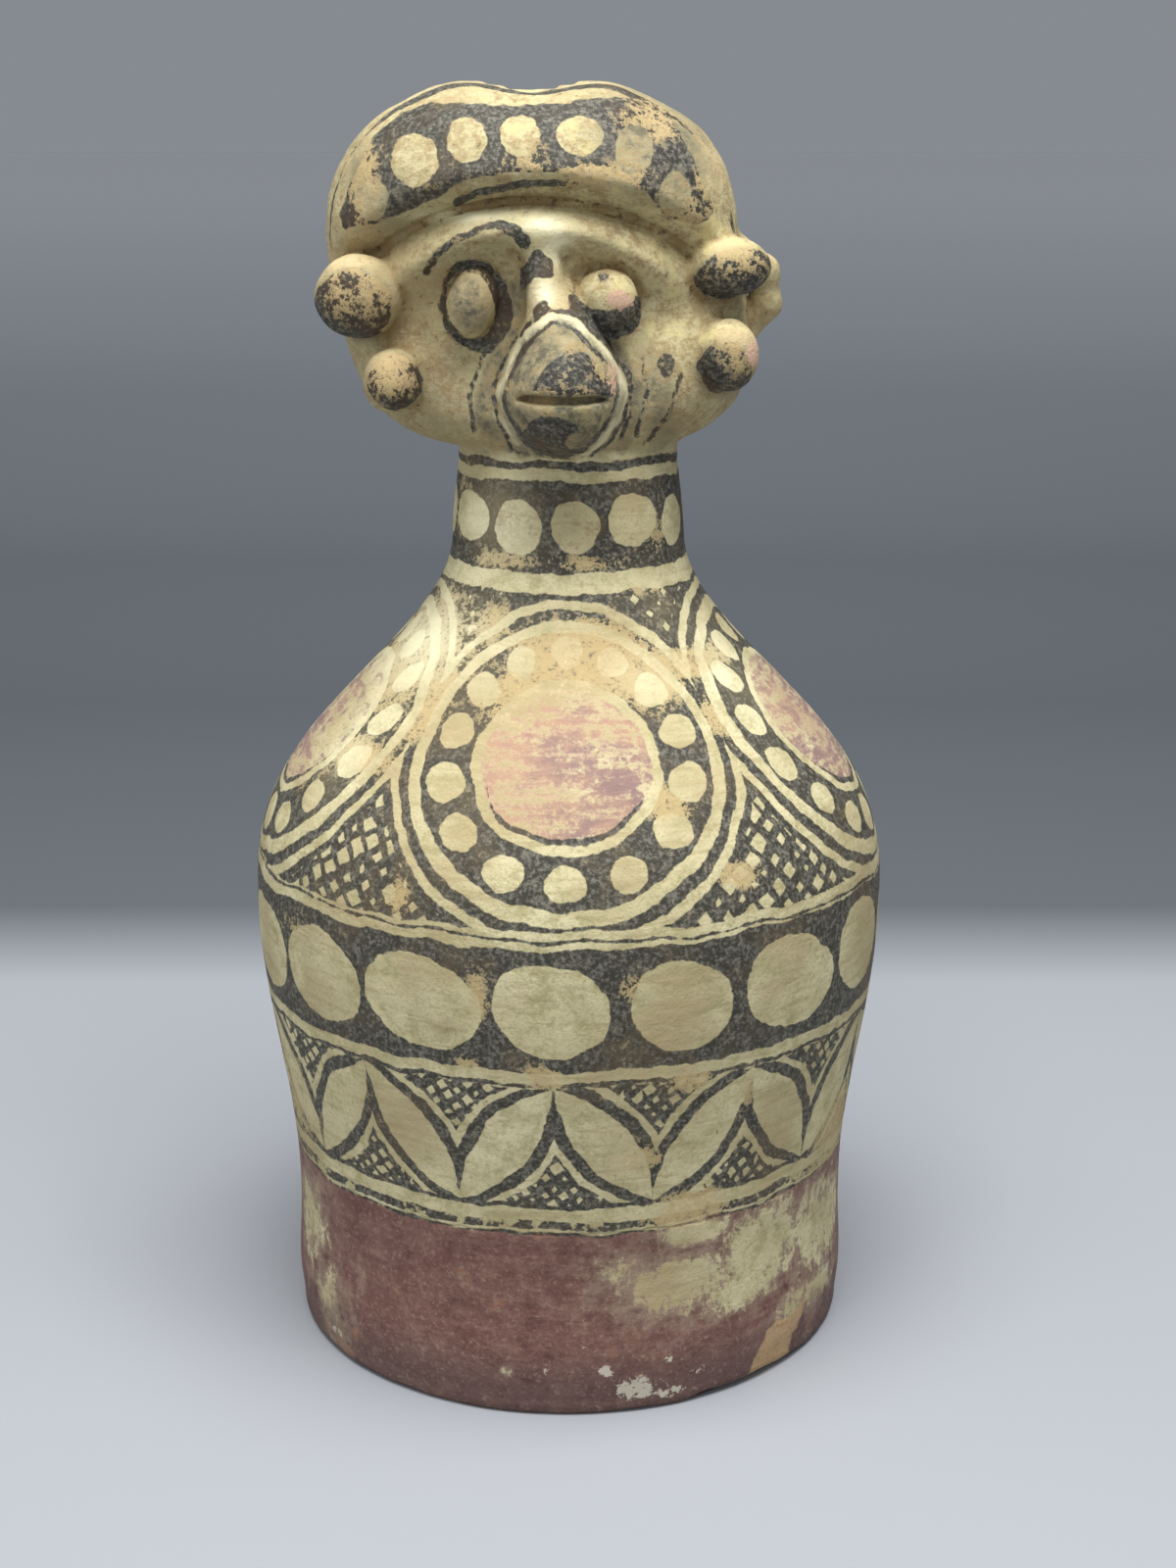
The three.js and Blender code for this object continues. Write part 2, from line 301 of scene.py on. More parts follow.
def wall_tree():
    tree = bpy.data.node_groups.new("thrown_wall", "GeometryNodeTree")
    tree.is_modifier = True
    tree.interface.new_socket(name="Geometry", in_out="OUTPUT", socket_type="NodeSocketGeometry")
    nodes, links = tree.nodes, tree.links
    inputs = wall_inputs(tree)

    def source(name):
        return Wire(tree, inputs.outputs[name])

    split = nodes.new("ShaderNodeSeparateXYZ")
    links.new(nodes.new("GeometryNodeInputPosition").outputs[0], split.inputs[0])
    across, back, up = (Wire(tree, output) for output in split.outputs)
    height = source("Rim Height") + (up + 0.5) * (source("Top Height") - source("Rim Height"))
    dent = finger_dents(tree, across, back, height) * source("Unevenness")
    pushed = (outline_radius(height, source) - dent) * MM
    place = as_place(tree, across * pushed, back * pushed, height * MM)
    thrown = move_skin(tree, raw_cylinder(tree, inputs), "Position", place)

    inward = nodes.new("ShaderNodeVectorMath")
    inward.operation = "SCALE"
    links.new(nodes.new("GeometryNodeInputNormal").outputs[0], inward.inputs[0])
    links.new((source("Inset") * -MM).socket, inward.inputs["Scale"])
    inset = move_skin(tree, thrown, "Offset", inward.outputs[0])

    real = nodes.new("GeometryNodeRealizeInstances")
    coat = nodes.new("GeometryNodeSetMaterial")
    links.new(inset, real.inputs[0])
    links.new(real.outputs[0], coat.inputs["Geometry"])
    links.new(inputs.outputs["Clay"], coat.inputs["Material"])
    output = nodes.new("NodeGroupOutput")
    links.new(coat.outputs[0], output.inputs[0])
    return tree


wall = wall_tree()
print("nodes in the tree that throws:", len(wall.nodes))


# %% [markdown]
# ### Throwing the vessel and its hollow
# The tree becomes a real thing when an object carries it as a modifier. Its inputs are set by
# their identifiers, the finished shape is copied out as plain mesh, and the modifier goes.
# The hollow starts below the foot, so that cutting it out later leaves the foot open.

# %% Throw the vessel and its hollow
def mesh_of(thing):
    """The finished shape of an object, as a plain mesh."""
    bpy.context.view_layer.update()
    graph = bpy.context.evaluated_depsgraph_get()
    return bpy.data.meshes.new_from_object(thing.evaluated_get(graph))


def throw_wall(name, tree, stations, clay, **sizes):
    thing = bpy.data.objects.new(name, bpy.data.meshes.new(name))
    scene.collection.objects.link(thing)
    modifier = thing.modifiers.new("throw", "NODES")
    modifier.node_group = tree
    values = {**sizes, "Clay": clay, "Shoulder Fullness": SHOULDER_FULLNESS}
    for station, (height, radius) in stations.items():
        values[f"{station} Height"] = height
        values[f"{station} Radius"] = radius
    for socket in tree.interface.items_tree:
        if socket.in_out == "INPUT":
            modifier[socket.identifier] = values[socket.name]
    mesh = mesh_of(thing)
    thing.modifiers.remove(modifier)
    thing.data = mesh
    return thing


clay = bpy.data.materials.new("painted_clay")
vessel = throw_wall("rhyton_painted", wall, OUTSIDE, clay,
                    Inset=0.0, Unevenness=0.5, Sides=264, Rings=172)
hollow = throw_wall("hollow", wall, HOLLOW, clay,
                    Inset=WALL_MM, Unevenness=0.0, Sides=96, Rings=60)
print("thrown wall:", len(vessel.data.polygons), "faces; hollow:", len(hollow.data.polygons))


# %% [markdown]
# ## The head as a field of clay
# Lumps of wet clay melt into each other where they are pressed together, which is hard to
# get by moving vertices. A distance field does it well: for every point of a fine lattice we
# work out how far it is from the clay, less than zero inside. Two lumps join by taking the
# smaller distance, and rounding that choice off gives the soft crease of a pressed joint.

# %% Press lumps together
HEAD_LOW = (-60.0, -52.0, 198.0)
HEAD_HIGH = (53.0, 37.0, 284.0)
LATTICE_STEP = 0.9


def lattice():
    axes = [np.arange(a, b, LATTICE_STEP) for a, b in zip(HEAD_LOW, HEAD_HIGH)]
    return np.meshgrid(*axes, indexing="ij")


def smooth_step(start, end, value):
    t = np.clip((value - start) / (end - start), 0, 1)
    return t * t * (3 - 2 * t)


def bell(distance, width):
    return np.exp(-((distance / width) ** 2))


def join(one, other, soft):
    """Presses two lumps together, with a crease about as wide as soft."""
    close = np.maximum(soft - np.abs(one - other), 0) / soft
    return np.minimum(one, other) - close * close * soft / 4


def carve(clay_field, tool, soft):
    """Takes the tool's shape out of the clay, leaving an edge rounded by soft."""
    return -join(-clay_field, tool, soft)


print("lattice points along x, y and z:", lattice()[0].shape)
print("a joint 3 mm soft fills its crease by, mm:", -float(join(0.0, 0.0, 3.0)))


# %% [markdown]
# ### Balls and rolls of clay
# A potter starts from balls and sausages rolled between the hands. Each is one formula: an
# egg shape for a pressed ball, and a tapering roll between two places. Both say how far a
# point is from their skin, so they can be pressed onto anything else.

# %% Roll balls and sausages
def egg(at, centre, radii, tilt=0.0):
    """An egg-shaped lump, tilted in the plane of the face by some degrees."""
    x, y, z = (a - c for a, c in zip(at, centre))
    turn = math.radians(tilt)
    x, z = x * math.cos(turn) + z * math.sin(turn), z * math.cos(turn) - x * math.sin(turn)
    size = np.sqrt((x / radii[0]) ** 2 + (y / radii[1]) ** 2 + (z / radii[2]) ** 2)
    slope = np.sqrt((x / radii[0] ** 2) ** 2 + (y / radii[1] ** 2) ** 2 + (z / radii[2] ** 2) ** 2)
    return size * (size - 1) / np.maximum(slope, 1e-6)


def roll(at, start, end, thick_start, thick_end):
    """A rolled sausage of clay that tapers from one end to the other."""
    along = np.subtract(end, start)
    x, y, z = (a - c for a, c in zip(at, start))
    part = np.clip((x * along[0] + y * along[1] + z * along[2]) / along.dot(along), 0, 1)
    away = np.sqrt(sum((a - part * d) ** 2 for a, d in zip((x, y, z), along)))
    return away - (thick_start + (thick_end - thick_start) * part)


print("10 mm from the middle of a ball 8 mm wide lies outside by, mm:",
      float(egg((10.0, 0.0, 0.0), (0, 0, 0), (4, 4, 4))))


# %% [markdown]
# ### Uneven surface
# Clay worked by hand is never smooth. Random numbers at the corners of a coarse grid, eased
# from one to the next, give soft swellings of a chosen size. A fixed seed makes them come out
# the same each time.

# %% Knead the surface uneven
def lumps(at, size, seed):
    """Soft random swellings about as wide as size, from -1 to 1."""
    table = np.random.default_rng(seed).uniform(-1, 1, (32, 32, 32))
    cells = [np.floor(a / size).astype(int) for a in at]
    parts = [a / size - c for a, c in zip(at, cells)]
    ease = [p * p * (3 - 2 * p) for p in parts]
    total = 0
    for corner in np.ndindex(2, 2, 2):
        weight = 1
        for axis in range(3):
            weight = weight * (ease[axis] if corner[axis] else 1 - ease[axis])
        total = total + weight * table[tuple((cells[i] + corner[i]) % 32 for i in range(3))]
    return total


line = lumps([np.linspace(0, 60, 61)] * 3, 9.0, 3)
print("swellings along a line run from", round(line.min(), 2), "to", round(line.max(), 2))


# %% [markdown]
# ## The bare head
# Seen from the front the head is as wide as it is high, round on top with two soft lobes,
# and cut under at the jaw. Its width and depth at each height come from one rounded curve.
# All sizes are the measured ones, in mm above the throat and from the middle of the neck.

# %% Give the head its outline
HEAD_HEIGHT, HEAD_HALF_WIDTH, HEAD_HALF_DEPTH, HEAD_MIDDLE = 76.0, 44.4, 32.0, 41.0
HEAD_SINK, CROWN_LEAN, JAW_LEAN = 1.0, -7.6, -3.0
CROWN_FULLNESS, JAW_FULLNESS, PLAN_FULLNESS = 2.6, 3.7, 2.2


def head_share(rise):
    """How wide the head is at a height, as a share of its widest."""
    above = rise >= HEAD_MIDDLE
    reach = np.where(above, HEAD_HEIGHT - HEAD_MIDDLE, HEAD_MIDDLE + HEAD_SINK)
    fullness = np.where(above, CROWN_FULLNESS, JAW_FULLNESS)
    part = np.clip(np.abs(rise - HEAD_MIDDLE) / reach, 0, 1)
    return np.maximum(1 - part ** fullness, 0) ** (1 / fullness)


def head_middle_x(rise):
    lean = smooth_step(HEAD_HEIGHT * 0.1, HEAD_HEIGHT * 0.63, rise)
    return JAW_LEAN + (CROWN_LEAN - JAW_LEAN) * lean


def front_y(x, rise):
    """Where the head's front lies before the face is sunk in."""
    share = head_share(rise)
    off_middle = np.abs(x - head_middle_x(rise)) / np.maximum(HEAD_HALF_WIDTH * share, 1e-6)
    across = np.clip(off_middle, 0, 1)
    return -HEAD_HALF_DEPTH * share * (1 - across ** PLAN_FULLNESS) ** (1 / PLAN_FULLNESS)


print("half width at the eyes, mm:", round(HEAD_HALF_WIDTH * float(head_share(31.0)), 1))


# %% [markdown]
# ### The sunken face
# The face lies behind the headband, inside an arch, as if the band were a thick fold pushed
# forward over it. Inside the arch the brow swells again, a crease runs under the band, and
# each eye sits in a shallow socket. All of this is only a depth to push the front back by.

# %% Sink the face behind the band
FACE_X, FACE_RISE, FACE_HALF_WIDTH, FACE_ARCH, FACE_JAW = -7.0, 28.0, 40.0, 25.0, 23.0
FACE_RECESS, BAND_EDGE, GROOVE_EDGE, JAW_EDGE = 7.5, 1.22, 0.95, 0.45
BROW_RISE, BROW_PLACE, BROW_WIDTH = 4.9, 0.74, 0.125
CREASE_DEPTH, CREASE_PLACE, CREASE_WIDTH = 1.8, 0.96, 0.045
SOCKET_DEPTH, SOCKET_RADIUS = 3.0, 9.5
FACE_BLEND = 9.0
EYES = (
    {"x": -19.7, "rise": 31.2, "radii": (5.4, 5.4, 7.6), "tilt": -16},
    {"x": 8.2, "rise": 31.9, "radii": (6.8, 5.8, 6.5), "tilt": 10},
)


def recess_at(x, rise):
    up = rise - FACE_RISE
    upper = smooth_step(-FACE_BLEND, FACE_BLEND, up)
    tall = FACE_JAW + (FACE_ARCH - FACE_JAW) * upper
    reach = np.hypot((x - FACE_X) / FACE_HALF_WIDTH, up / tall)
    inner = JAW_EDGE + (GROOVE_EDGE - JAW_EDGE) * upper
    sunk = FACE_RECESS * smooth_step(BAND_EDGE, inner, reach)
    arched = smooth_step(0, FACE_ARCH / 2, up)
    brow = BROW_RISE * bell(reach - BROW_PLACE, BROW_WIDTH) * arched
    brow = brow - CREASE_DEPTH * bell(reach - CREASE_PLACE, CREASE_WIDTH) * arched
    socket = sum(SOCKET_DEPTH * bell(np.hypot(x - eye["x"], rise - eye["rise"]), SOCKET_RADIUS)
                 for eye in EYES)
    return sunk - brow + socket


def face_y(x, rise):
    front = front_y(x, rise)
    return front + recess_at(x, rise) * smooth_step(0, HEAD_HALF_DEPTH / 2, -front)


print("face behind the band's front, mm:", round(float(recess_at(FACE_X, FACE_RISE)), 1))


# %% [markdown]
# ### The whole bare head
# Now the head can be a field as well: how far a point lies outside the rounded outline, once
# the front has been pushed back by the face. Two soft lobes and a saddle between them shape
# the crown. The raw numbers aren't true millimetres, so they are divided by their own slope.

# %% Shape the bare head
LOBE_SPREAD, LOBE_RISE, LOBE_WIDTH, SADDLE_DROP, SADDLE_WIDTH = 15.0, 1.0, 10.0, 1.9, 9.5


def bare_head(x, y, z):
    off = x - CROWN_LEAN
    lobes = bell(off - LOBE_SPREAD, LOBE_WIDTH) + bell(off + LOBE_SPREAD, LOBE_WIDTH)
    lift = LOBE_RISE * lobes - SADDLE_DROP * bell(off, SADDLE_WIDTH)
    rise = z - THROAT_MM
    rise = rise - lift * smooth_step(HEAD_HEIGHT * 0.75, HEAD_HEIGHT, rise)
    share = np.maximum(head_share(rise), 0.02)
    deep = y - recess_at(x, rise) * smooth_step(0, HEAD_HALF_DEPTH / 2, -y)
    across = np.abs(x - head_middle_x(rise)) / (HEAD_HALF_WIDTH * share)
    along = np.abs(deep) / (HEAD_HALF_DEPTH * share)
    size = (across ** PLAN_FULLNESS + along ** PLAN_FULLNESS) ** (1 / PLAN_FULLNESS)
    past = np.maximum(rise - HEAD_HEIGHT, -HEAD_SINK - rise)
    return np.maximum((size - 1) * HEAD_HALF_DEPTH * share, past)


def true_distance(field):
    """Evens the field out, so that one step of it is one millimetre near the surface."""
    slope = np.sqrt(sum(g * g for g in np.gradient(field, LATTICE_STEP)))
    return field / np.clip(slope, 0.3, 3.0)


middle = (CROWN_LEAN, 0.0, THROAT_MM + HEAD_MIDDLE)
print("from the middle of the head to its skin, mm:", round(-float(bare_head(*middle)), 1))


# %% [markdown]
# ## Pellets, ridge and snout
# The potter pressed balls of clay on for the eyes and ears, a tapering roll for the nose
# and a drop-shaped lump for the snout, then drew a blunt tool across it for the mouth.
# Each lump sits on the face that was worked out above, so that it is always half sunk in.

# %% Press the features on
EARS = (
    {"x": -43.6, "rise": 32.4, "radii": (9.2, 7.5, 8.8), "proud": 0.2},
    {"x": -37.0, "rise": 15.0, "radii": (6.2, 6.2, 6.8), "proud": 1.2},
    {"x": 34.2, "rise": 38.2, "radii": (8.8, 7.4, 6.2), "proud": 0.4},
    {"x": 34.0, "rise": 20.2, "radii": (6.6, 6.6, 7.7), "proud": 1.6},
)
FLANGE = ((37.0, -2.0, 41.0), (42.2, -1.5, 36.5), (43.4, -0.5, 29.5), (38.5, 1.0, 23.0))
FLANGE_THICK = (3.2, 3.0, 2.7, 2.4)
BRIDGE, RIDGE_FOOT = (-5.4, 42.0, 2.9), (-3.2, 27.0, 4.6)


def on_face(x, rise, ahead):
    return (x, float(face_y(x, rise)) - ahead, THROAT_MM + rise)


def ear_middle(ear):
    front = float(front_y(ear["x"], ear["rise"]))
    return (ear["x"], front - ear["proud"], THROAT_MM + ear["rise"])


def press_pellets(field, at):
    for ear in EARS:
        field = join(field, egg(at, ear_middle(ear), ear["radii"]), 2.0)
    bends = [(a, b, THROAT_MM + rise) for a, b, rise in FLANGE]
    thicks = zip(FLANGE_THICK, FLANGE_THICK[1:])
    for (start, end), (thick, thin) in zip(zip(bends, bends[1:]), thicks):
        field = join(field, roll(at, start, end, thick, thin), 2.5)
    for eye in EYES:
        place = on_face(eye["x"], eye["rise"], eye["radii"][1] / 2)
        field = join(field, egg(at, place, eye["radii"], eye["tilt"]), 0.8)
    return field


print("ear pellets, mm from the axis:", [round(math.hypot(*ear_middle(ear)[:2]), 1) for ear in EARS])


# %% [markdown]
# ### Snout and mouth
# The snout is a drop: pointed at the top, where it runs out under the eyes, and round at the
# chin. The mouth is cut by a flat lens that only reaches a little way in, as a blunt tool
# drawn across wet clay would.

# %% Model the snout and its mouth
SNOUT_X, SNOUT_RISE, SNOUT_HALF_WIDTH, SNOUT_AHEAD = -0.6, 13.4, 13.4, 21.0
SNOUT_UP, SNOUT_DOWN, SNOUT_TAPER, SNOUT_SLOPE = 24.0, 13.6, 1.3, 1.8
MOUTH_RISE, MOUTH_HALF_WIDTH, MOUTH_SWEEP, MOUTH_GAPE, MOUTH_DEPTH = 13.2, 12.6, 12.0, 1.7, 2.2
SNOUT_ROOT = float(face_y(SNOUT_X, SNOUT_RISE + SNOUT_UP / 2))


def snout(x, y, z):
    rise = z - THROAT_MM - SNOUT_RISE
    above = rise > 0
    level = np.clip(np.where(above, rise / SNOUT_UP, -rise / SNOUT_DOWN), 0, 0.985)
    round_off = np.sqrt(1 - level ** 2)
    width = SNOUT_HALF_WIDTH * np.where(above, 1 - level ** SNOUT_TAPER, round_off)
    ahead = SNOUT_AHEAD * np.where(above, 1 - level ** SNOUT_SLOPE, round_off)
    size = np.hypot((x - SNOUT_X) / width, (y - SNOUT_ROOT) / ahead)
    past = np.maximum(rise - SNOUT_UP, -SNOUT_DOWN - rise)
    return np.maximum((size - 1) * np.minimum(width, ahead), past)


def mouth(at):
    """A flat lens of air, less the core of the snout that it doesn't reach."""
    height = THROAT_MM + MOUTH_RISE
    tip = (SNOUT_X, SNOUT_ROOT - SNOUT_AHEAD, height)
    lens = egg(at, tip, (MOUTH_HALF_WIDTH, MOUTH_SWEEP, MOUTH_GAPE / 2))
    core = (SNOUT_HALF_WIDTH - MOUTH_DEPTH, SNOUT_AHEAD - MOUTH_DEPTH, SNOUT_DOWN * 2)
    return np.maximum(lens, -egg(at, (SNOUT_X, SNOUT_ROOT, height), core))


print("tip of the snout, mm in front of the axis:", round(SNOUT_AHEAD - SNOUT_ROOT, 1))


# %% [markdown]
# ### Everything in order
# The lumps are pressed on in the potter's order: neck, nose ridge, snout, ears, eyes. How
# soft each joint is says how hard it was smoothed: the ridge flows into the face, and the
# eyes were only pushed on. The mouth is cut last, and the whole skin made a little uneven.

# %% Put the head together
NECK_RADIUS, NECK_TAPER, NECK_BOTTOM = 25.4, 0.085, 184.0


def head_field(at):
    x, y, z = at
    field = true_distance(bare_head(x, y, z))
    neck = np.hypot(x, y) - (NECK_RADIUS - NECK_TAPER * (z - NECK_BOTTOM))
    field = join(field, np.maximum(neck, z - THROAT_MM - 8), 3.0)
    bridge, foot = on_face(*BRIDGE[:2], 1.0), on_face(*RIDGE_FOOT[:2], 5.0)
    field = join(field, roll(at, bridge, foot, BRIDGE[2], RIDGE_FOOT[2]), 5.0)
    field = join(field, true_distance(snout(x, y, z)), 3.0)
    field = carve(press_pellets(field, at), mouth(at), 0.8)
    return field + 0.35 * lumps(at, 9.0, 3) + 0.16 * lumps(at, 3.5, 4)


def close_edges(field):
    """Sets the lattice's outer layer to empty air, so that the skin is closed."""
    for axis in range(3):
        edge = [slice(None)] * 3
        for side in (0, -1):
            edge[axis] = side
            field[tuple(edge)] = 1.0
    return field


head_clay = close_edges(head_field(lattice()))
print("the head fills", round(100 * float((head_clay < 0).mean())), "% of the lattice")


# %% [markdown]
# ## Skin on the field
# To see the clay we need its skin: the places where the field is zero. Every cell of the
# lattice that the skin passes through gets one vertex, at the middle of the places where
# its edges cross zero, and each crossed edge of the lattice gets one four-sided face between
# the four cells around it. The faces are even in size, which suits soft modelled forms.

# %% Find where the skin goes
def skin_vertices(field):
    """For each cell, the sum and number of the places where its edges cross the skin."""
    cells = tuple(n - 1 for n in field.shape)
    total, count = np.zeros(cells + (3,)), np.zeros(cells)
    for axis in range(3):
        others = [i for i in range(3) if i != axis]
        for a, b in np.ndindex(2, 2):
            start = [0, 0, 0]
            start[others[0]], start[others[1]] = a, b
            end = list(start)
            end[axis] = 1
            first = field[tuple(slice(s, s + n) for s, n in zip(start, cells))]
            second = field[tuple(slice(s, s + n) for s, n in zip(end, cells))]
            crossed = (first < 0) != (second < 0)
            part = np.where(crossed, first / np.where(crossed, first - second, 1), 0)
            for i in range(3):
                total[..., i] += crossed * start[i]
            total[..., axis] += part
            count += crossed
    return total, count


crossings, crossed_edges = skin_vertices(head_clay)
print("cells that the skin passes through:", int((crossed_edges > 0).sum()))


# %% [markdown]
# ### Faces between the cells
# Where a lattice edge goes from clay to air, the four cells around that edge each hold one
# vertex, and together they make a face. Its corners are listed one way round or the other,
# depending on which end is clay, so that every face looks outwards.

# %% Wrap the field in a skin
def skin_faces(field, number):
    inside = field < 0
    faces = []
    for axis in range(3):
        one, two = [(1, 2), (2, 0), (0, 1)][axis]
        low, high = [slice(None)] * 3, [slice(None)] * 3
        low[axis], high[axis] = slice(None, -1), slice(1, None)
        edges = np.argwhere(inside[tuple(low)] != inside[tuple(high)])
        edges = edges[(edges[:, one] > 0) & (edges[:, two] > 0)]
        edges = edges[(edges[:, one] < number.shape[one]) & (edges[:, two] < number.shape[two])]
        ring = []
        for back_one, back_two in ((1, 1), (0, 1), (0, 0), (1, 0)):
            cell = edges.copy()
            cell[:, one] -= back_one
            cell[:, two] -= back_two
            ring.append(number[tuple(cell.T)])
        quads = np.stack(ring, 1)
        solid_first = inside[tuple(edges.T)]
        quads[~solid_first] = quads[~solid_first][:, ::-1]
        faces.append(quads)
    return np.concatenate(faces)


def skin_mesh(name, field, total, count):
    number = np.full(count.shape, -1)
    used = count > 0
    number[used] = np.arange(used.sum())
    corner = np.argwhere(used)
    points = (corner + total[used] / count[used][:, None]) * LATTICE_STEP + np.array(HEAD_LOW)
    mesh = bpy.data.meshes.new(name)
    mesh.from_pydata((points * MM).tolist(), [], skin_faces(field, number).tolist())
    return mesh


head = bpy.data.objects.new("head", skin_mesh("head", head_clay, crossings, crossed_edges))
scene.collection.objects.link(head)
print("modelled head:", len(head.data.polygons), "faces")


# %% [markdown]
# ## Joining the clay
# The head was luted to the neck while both were wet, and the inside was left hollow. Two
# Boolean modifiers do the same: the first adds the head to the wall, and the second takes
# the hollow out of both. The result is one closed skin, as the real vessel is one piece.

# %% Lute the head on and open the hollow
def combine(thing, tool, operation):
    modifier = thing.modifiers.new(operation.lower(), "BOOLEAN")
    modifier.operation = operation
    modifier.solver = "MANIFOLD"
    modifier.object = tool
    mesh = mesh_of(thing)
    thing.modifiers.remove(modifier)
    thing.data = mesh
    bpy.data.objects.remove(tool)


combine(vessel, head, "UNION")
combine(vessel, hollow, "DIFFERENCE")
vessel.data.materials.clear()
vessel.data.materials.append(clay)
vessel.data.shade_smooth()
vessel.data.set_sharp_from_angle(angle=math.radians(50))
print("joined vessel:", len(vessel.data.vertices), "vertices,",
      len(vessel.data.polygons), "faces")


# %% [markdown]
# ## The worn foot
# The rim stood on hard floors for a long time, so its edge has lost small flakes, and one
# longer piece is gone at the right of the front. Lifting the lowest vertices by an uneven
# amount nibbles the edge without opening the mesh.

# %% Nibble the rim
RIM_REACH, RIM_NIBBLE, NIBBLE_SIZE = 7.0, 0.5, 5.0
CHIP_LIFT, CHIP_AROUND_DEG, CHIP_HALF_DEG, CHIP_ROUGHNESS = 1.0, 41.0, 19.0, 0.35


def skin_points(mesh):
    points = np.empty(len(mesh.vertices) * 3)
    mesh.vertices.foreach_get("co", points)
    return points.reshape(-1, 3) / MM


def turn_from_front(points):
    return np.degrees(np.arctan2(points[:, 0], -points[:, 1]))


def nibble_rim(mesh):
    points = skin_points(mesh)
    at = [points[:, 0] + 200, points[:, 1] + 200, np.full(len(points), 5.0)]
    nibble = RIM_NIBBLE * np.maximum(lumps(at, NIBBLE_SIZE, 11), 0)
    off = np.abs(turn_from_front(points) - CHIP_AROUND_DEG)
    chip = CHIP_LIFT * smooth_step(CHIP_HALF_DEG, CHIP_HALF_DEG * 0.6, off)
    chip = chip * (1 + CHIP_ROUGHNESS * lumps(at, 7.0, 12))
    share = np.clip(1 - points[:, 2] / RIM_REACH, 0, 1)
    points[:, 2] += (nibble + chip) * share
    mesh.vertices.foreach_set("co", (points * MM).ravel())


nibble_rim(vessel.data)
print("lowest point after nibbling, mm:", round(float(skin_points(vessel.data)[:, 2].min()), 2))


# %% [markdown]
# ## What the paint needs to know
# Paint settles, wears and stains by place, and some places also get painted shade and painted
# highlight. The skin's vertices carry a few numbers for that: how far along the outline they
# are from the foot, whether they lie in a crease or on an edge, how much handling and burial
# have worn or stained the spot, and where shade and highlight are painted. The run along the
# outline comes first: a medallion on the sloping shoulder is round along the skin, and
# would come out squashed if it were measured by height.

# %% Note the run along the outline
def note(mesh, name, values):
    layer = mesh.attributes.new(name, "FLOAT", "POINT")
    layer.data.foreach_set("value", np.ascontiguousarray(values, dtype=np.float32))


def run_along(heights):
    """The distance in mm along the outline from the foot up to each height."""
    samples = np.linspace(0, OUTSIDE["Throat"][0] + 90, 600)
    radius = np.full(samples.shape, OUTSIDE["Rim"][1])
    for low, high in zip(STATIONS[:7], STATIONS[1:7]):
        (z0, r0), (z1, r1) = OUTSIDE[low], OUTSIDE[high]
        part = np.clip((samples - z0) / (z1 - z0), 0, 1)
        part = part ** (SHOULDER_FULLNESS if low == "Belly" else 1)
        radius += (r1 - r0) * (0.5 - 0.5 * np.cos(part * math.pi))
    steps = np.hypot(np.diff(samples), np.diff(radius))
    return np.interp(heights, samples, np.concatenate([[0], np.cumsum(steps)]))


points = skin_points(vessel.data)
note(vessel.data, "run", run_along(points[:, 2]))
print("run from the foot to the throat, mm:", round(float(run_along(THROAT_MM)), 1))


# %% [markdown]
# ### Creases and edges
# The head's slip is made darker in its creases, and hands rub the slip off edges. How much the
# skin bends at a vertex follows from its neighbours: where they lie in front of its own tangent
# plane the skin is hollow, and behind it the skin is an edge. A few rounds of averaging widen
# that into the soft borders that the darkening and the wear have.

# %% Note the creases and edges
def creases(mesh, rounds=5):
    """Above zero in creases and below zero on edges, in bends per mm."""
    points = skin_points(mesh)
    normals = np.empty(len(points) * 3)
    mesh.vertex_normals.foreach_get("vector", normals)
    pairs = np.empty(len(mesh.edges) * 2, dtype=np.int64)
    mesh.edges.foreach_get("vertices", pairs)
    one, two = pairs.reshape(-1, 2).T
    away = points[two] - points[one]
    span = (away ** 2).sum(1)
    count = np.bincount(one, minlength=len(points)) + np.bincount(two, minlength=len(points))
    normals = normals.reshape(-1, 3)
    bend_one = 2 * (away * normals[one]).sum(1) / span
    bend_two = -2 * (away * normals[two]).sum(1) / span
    total = np.bincount(one, bend_one, len(points)) + np.bincount(two, bend_two, len(points))
    bend = total / count
    for _ in range(rounds):
        total = np.bincount(one, bend[two], len(points)) + np.bincount(two, bend[one], len(points))
        bend = 0.5 * bend + 0.5 * total / count
    return bend


bends = creases(vessel.data)
note(vessel.data, "crease", bends)
print("bends per mm:", np.round(np.percentile(bends, [2, 50, 98]), 3))
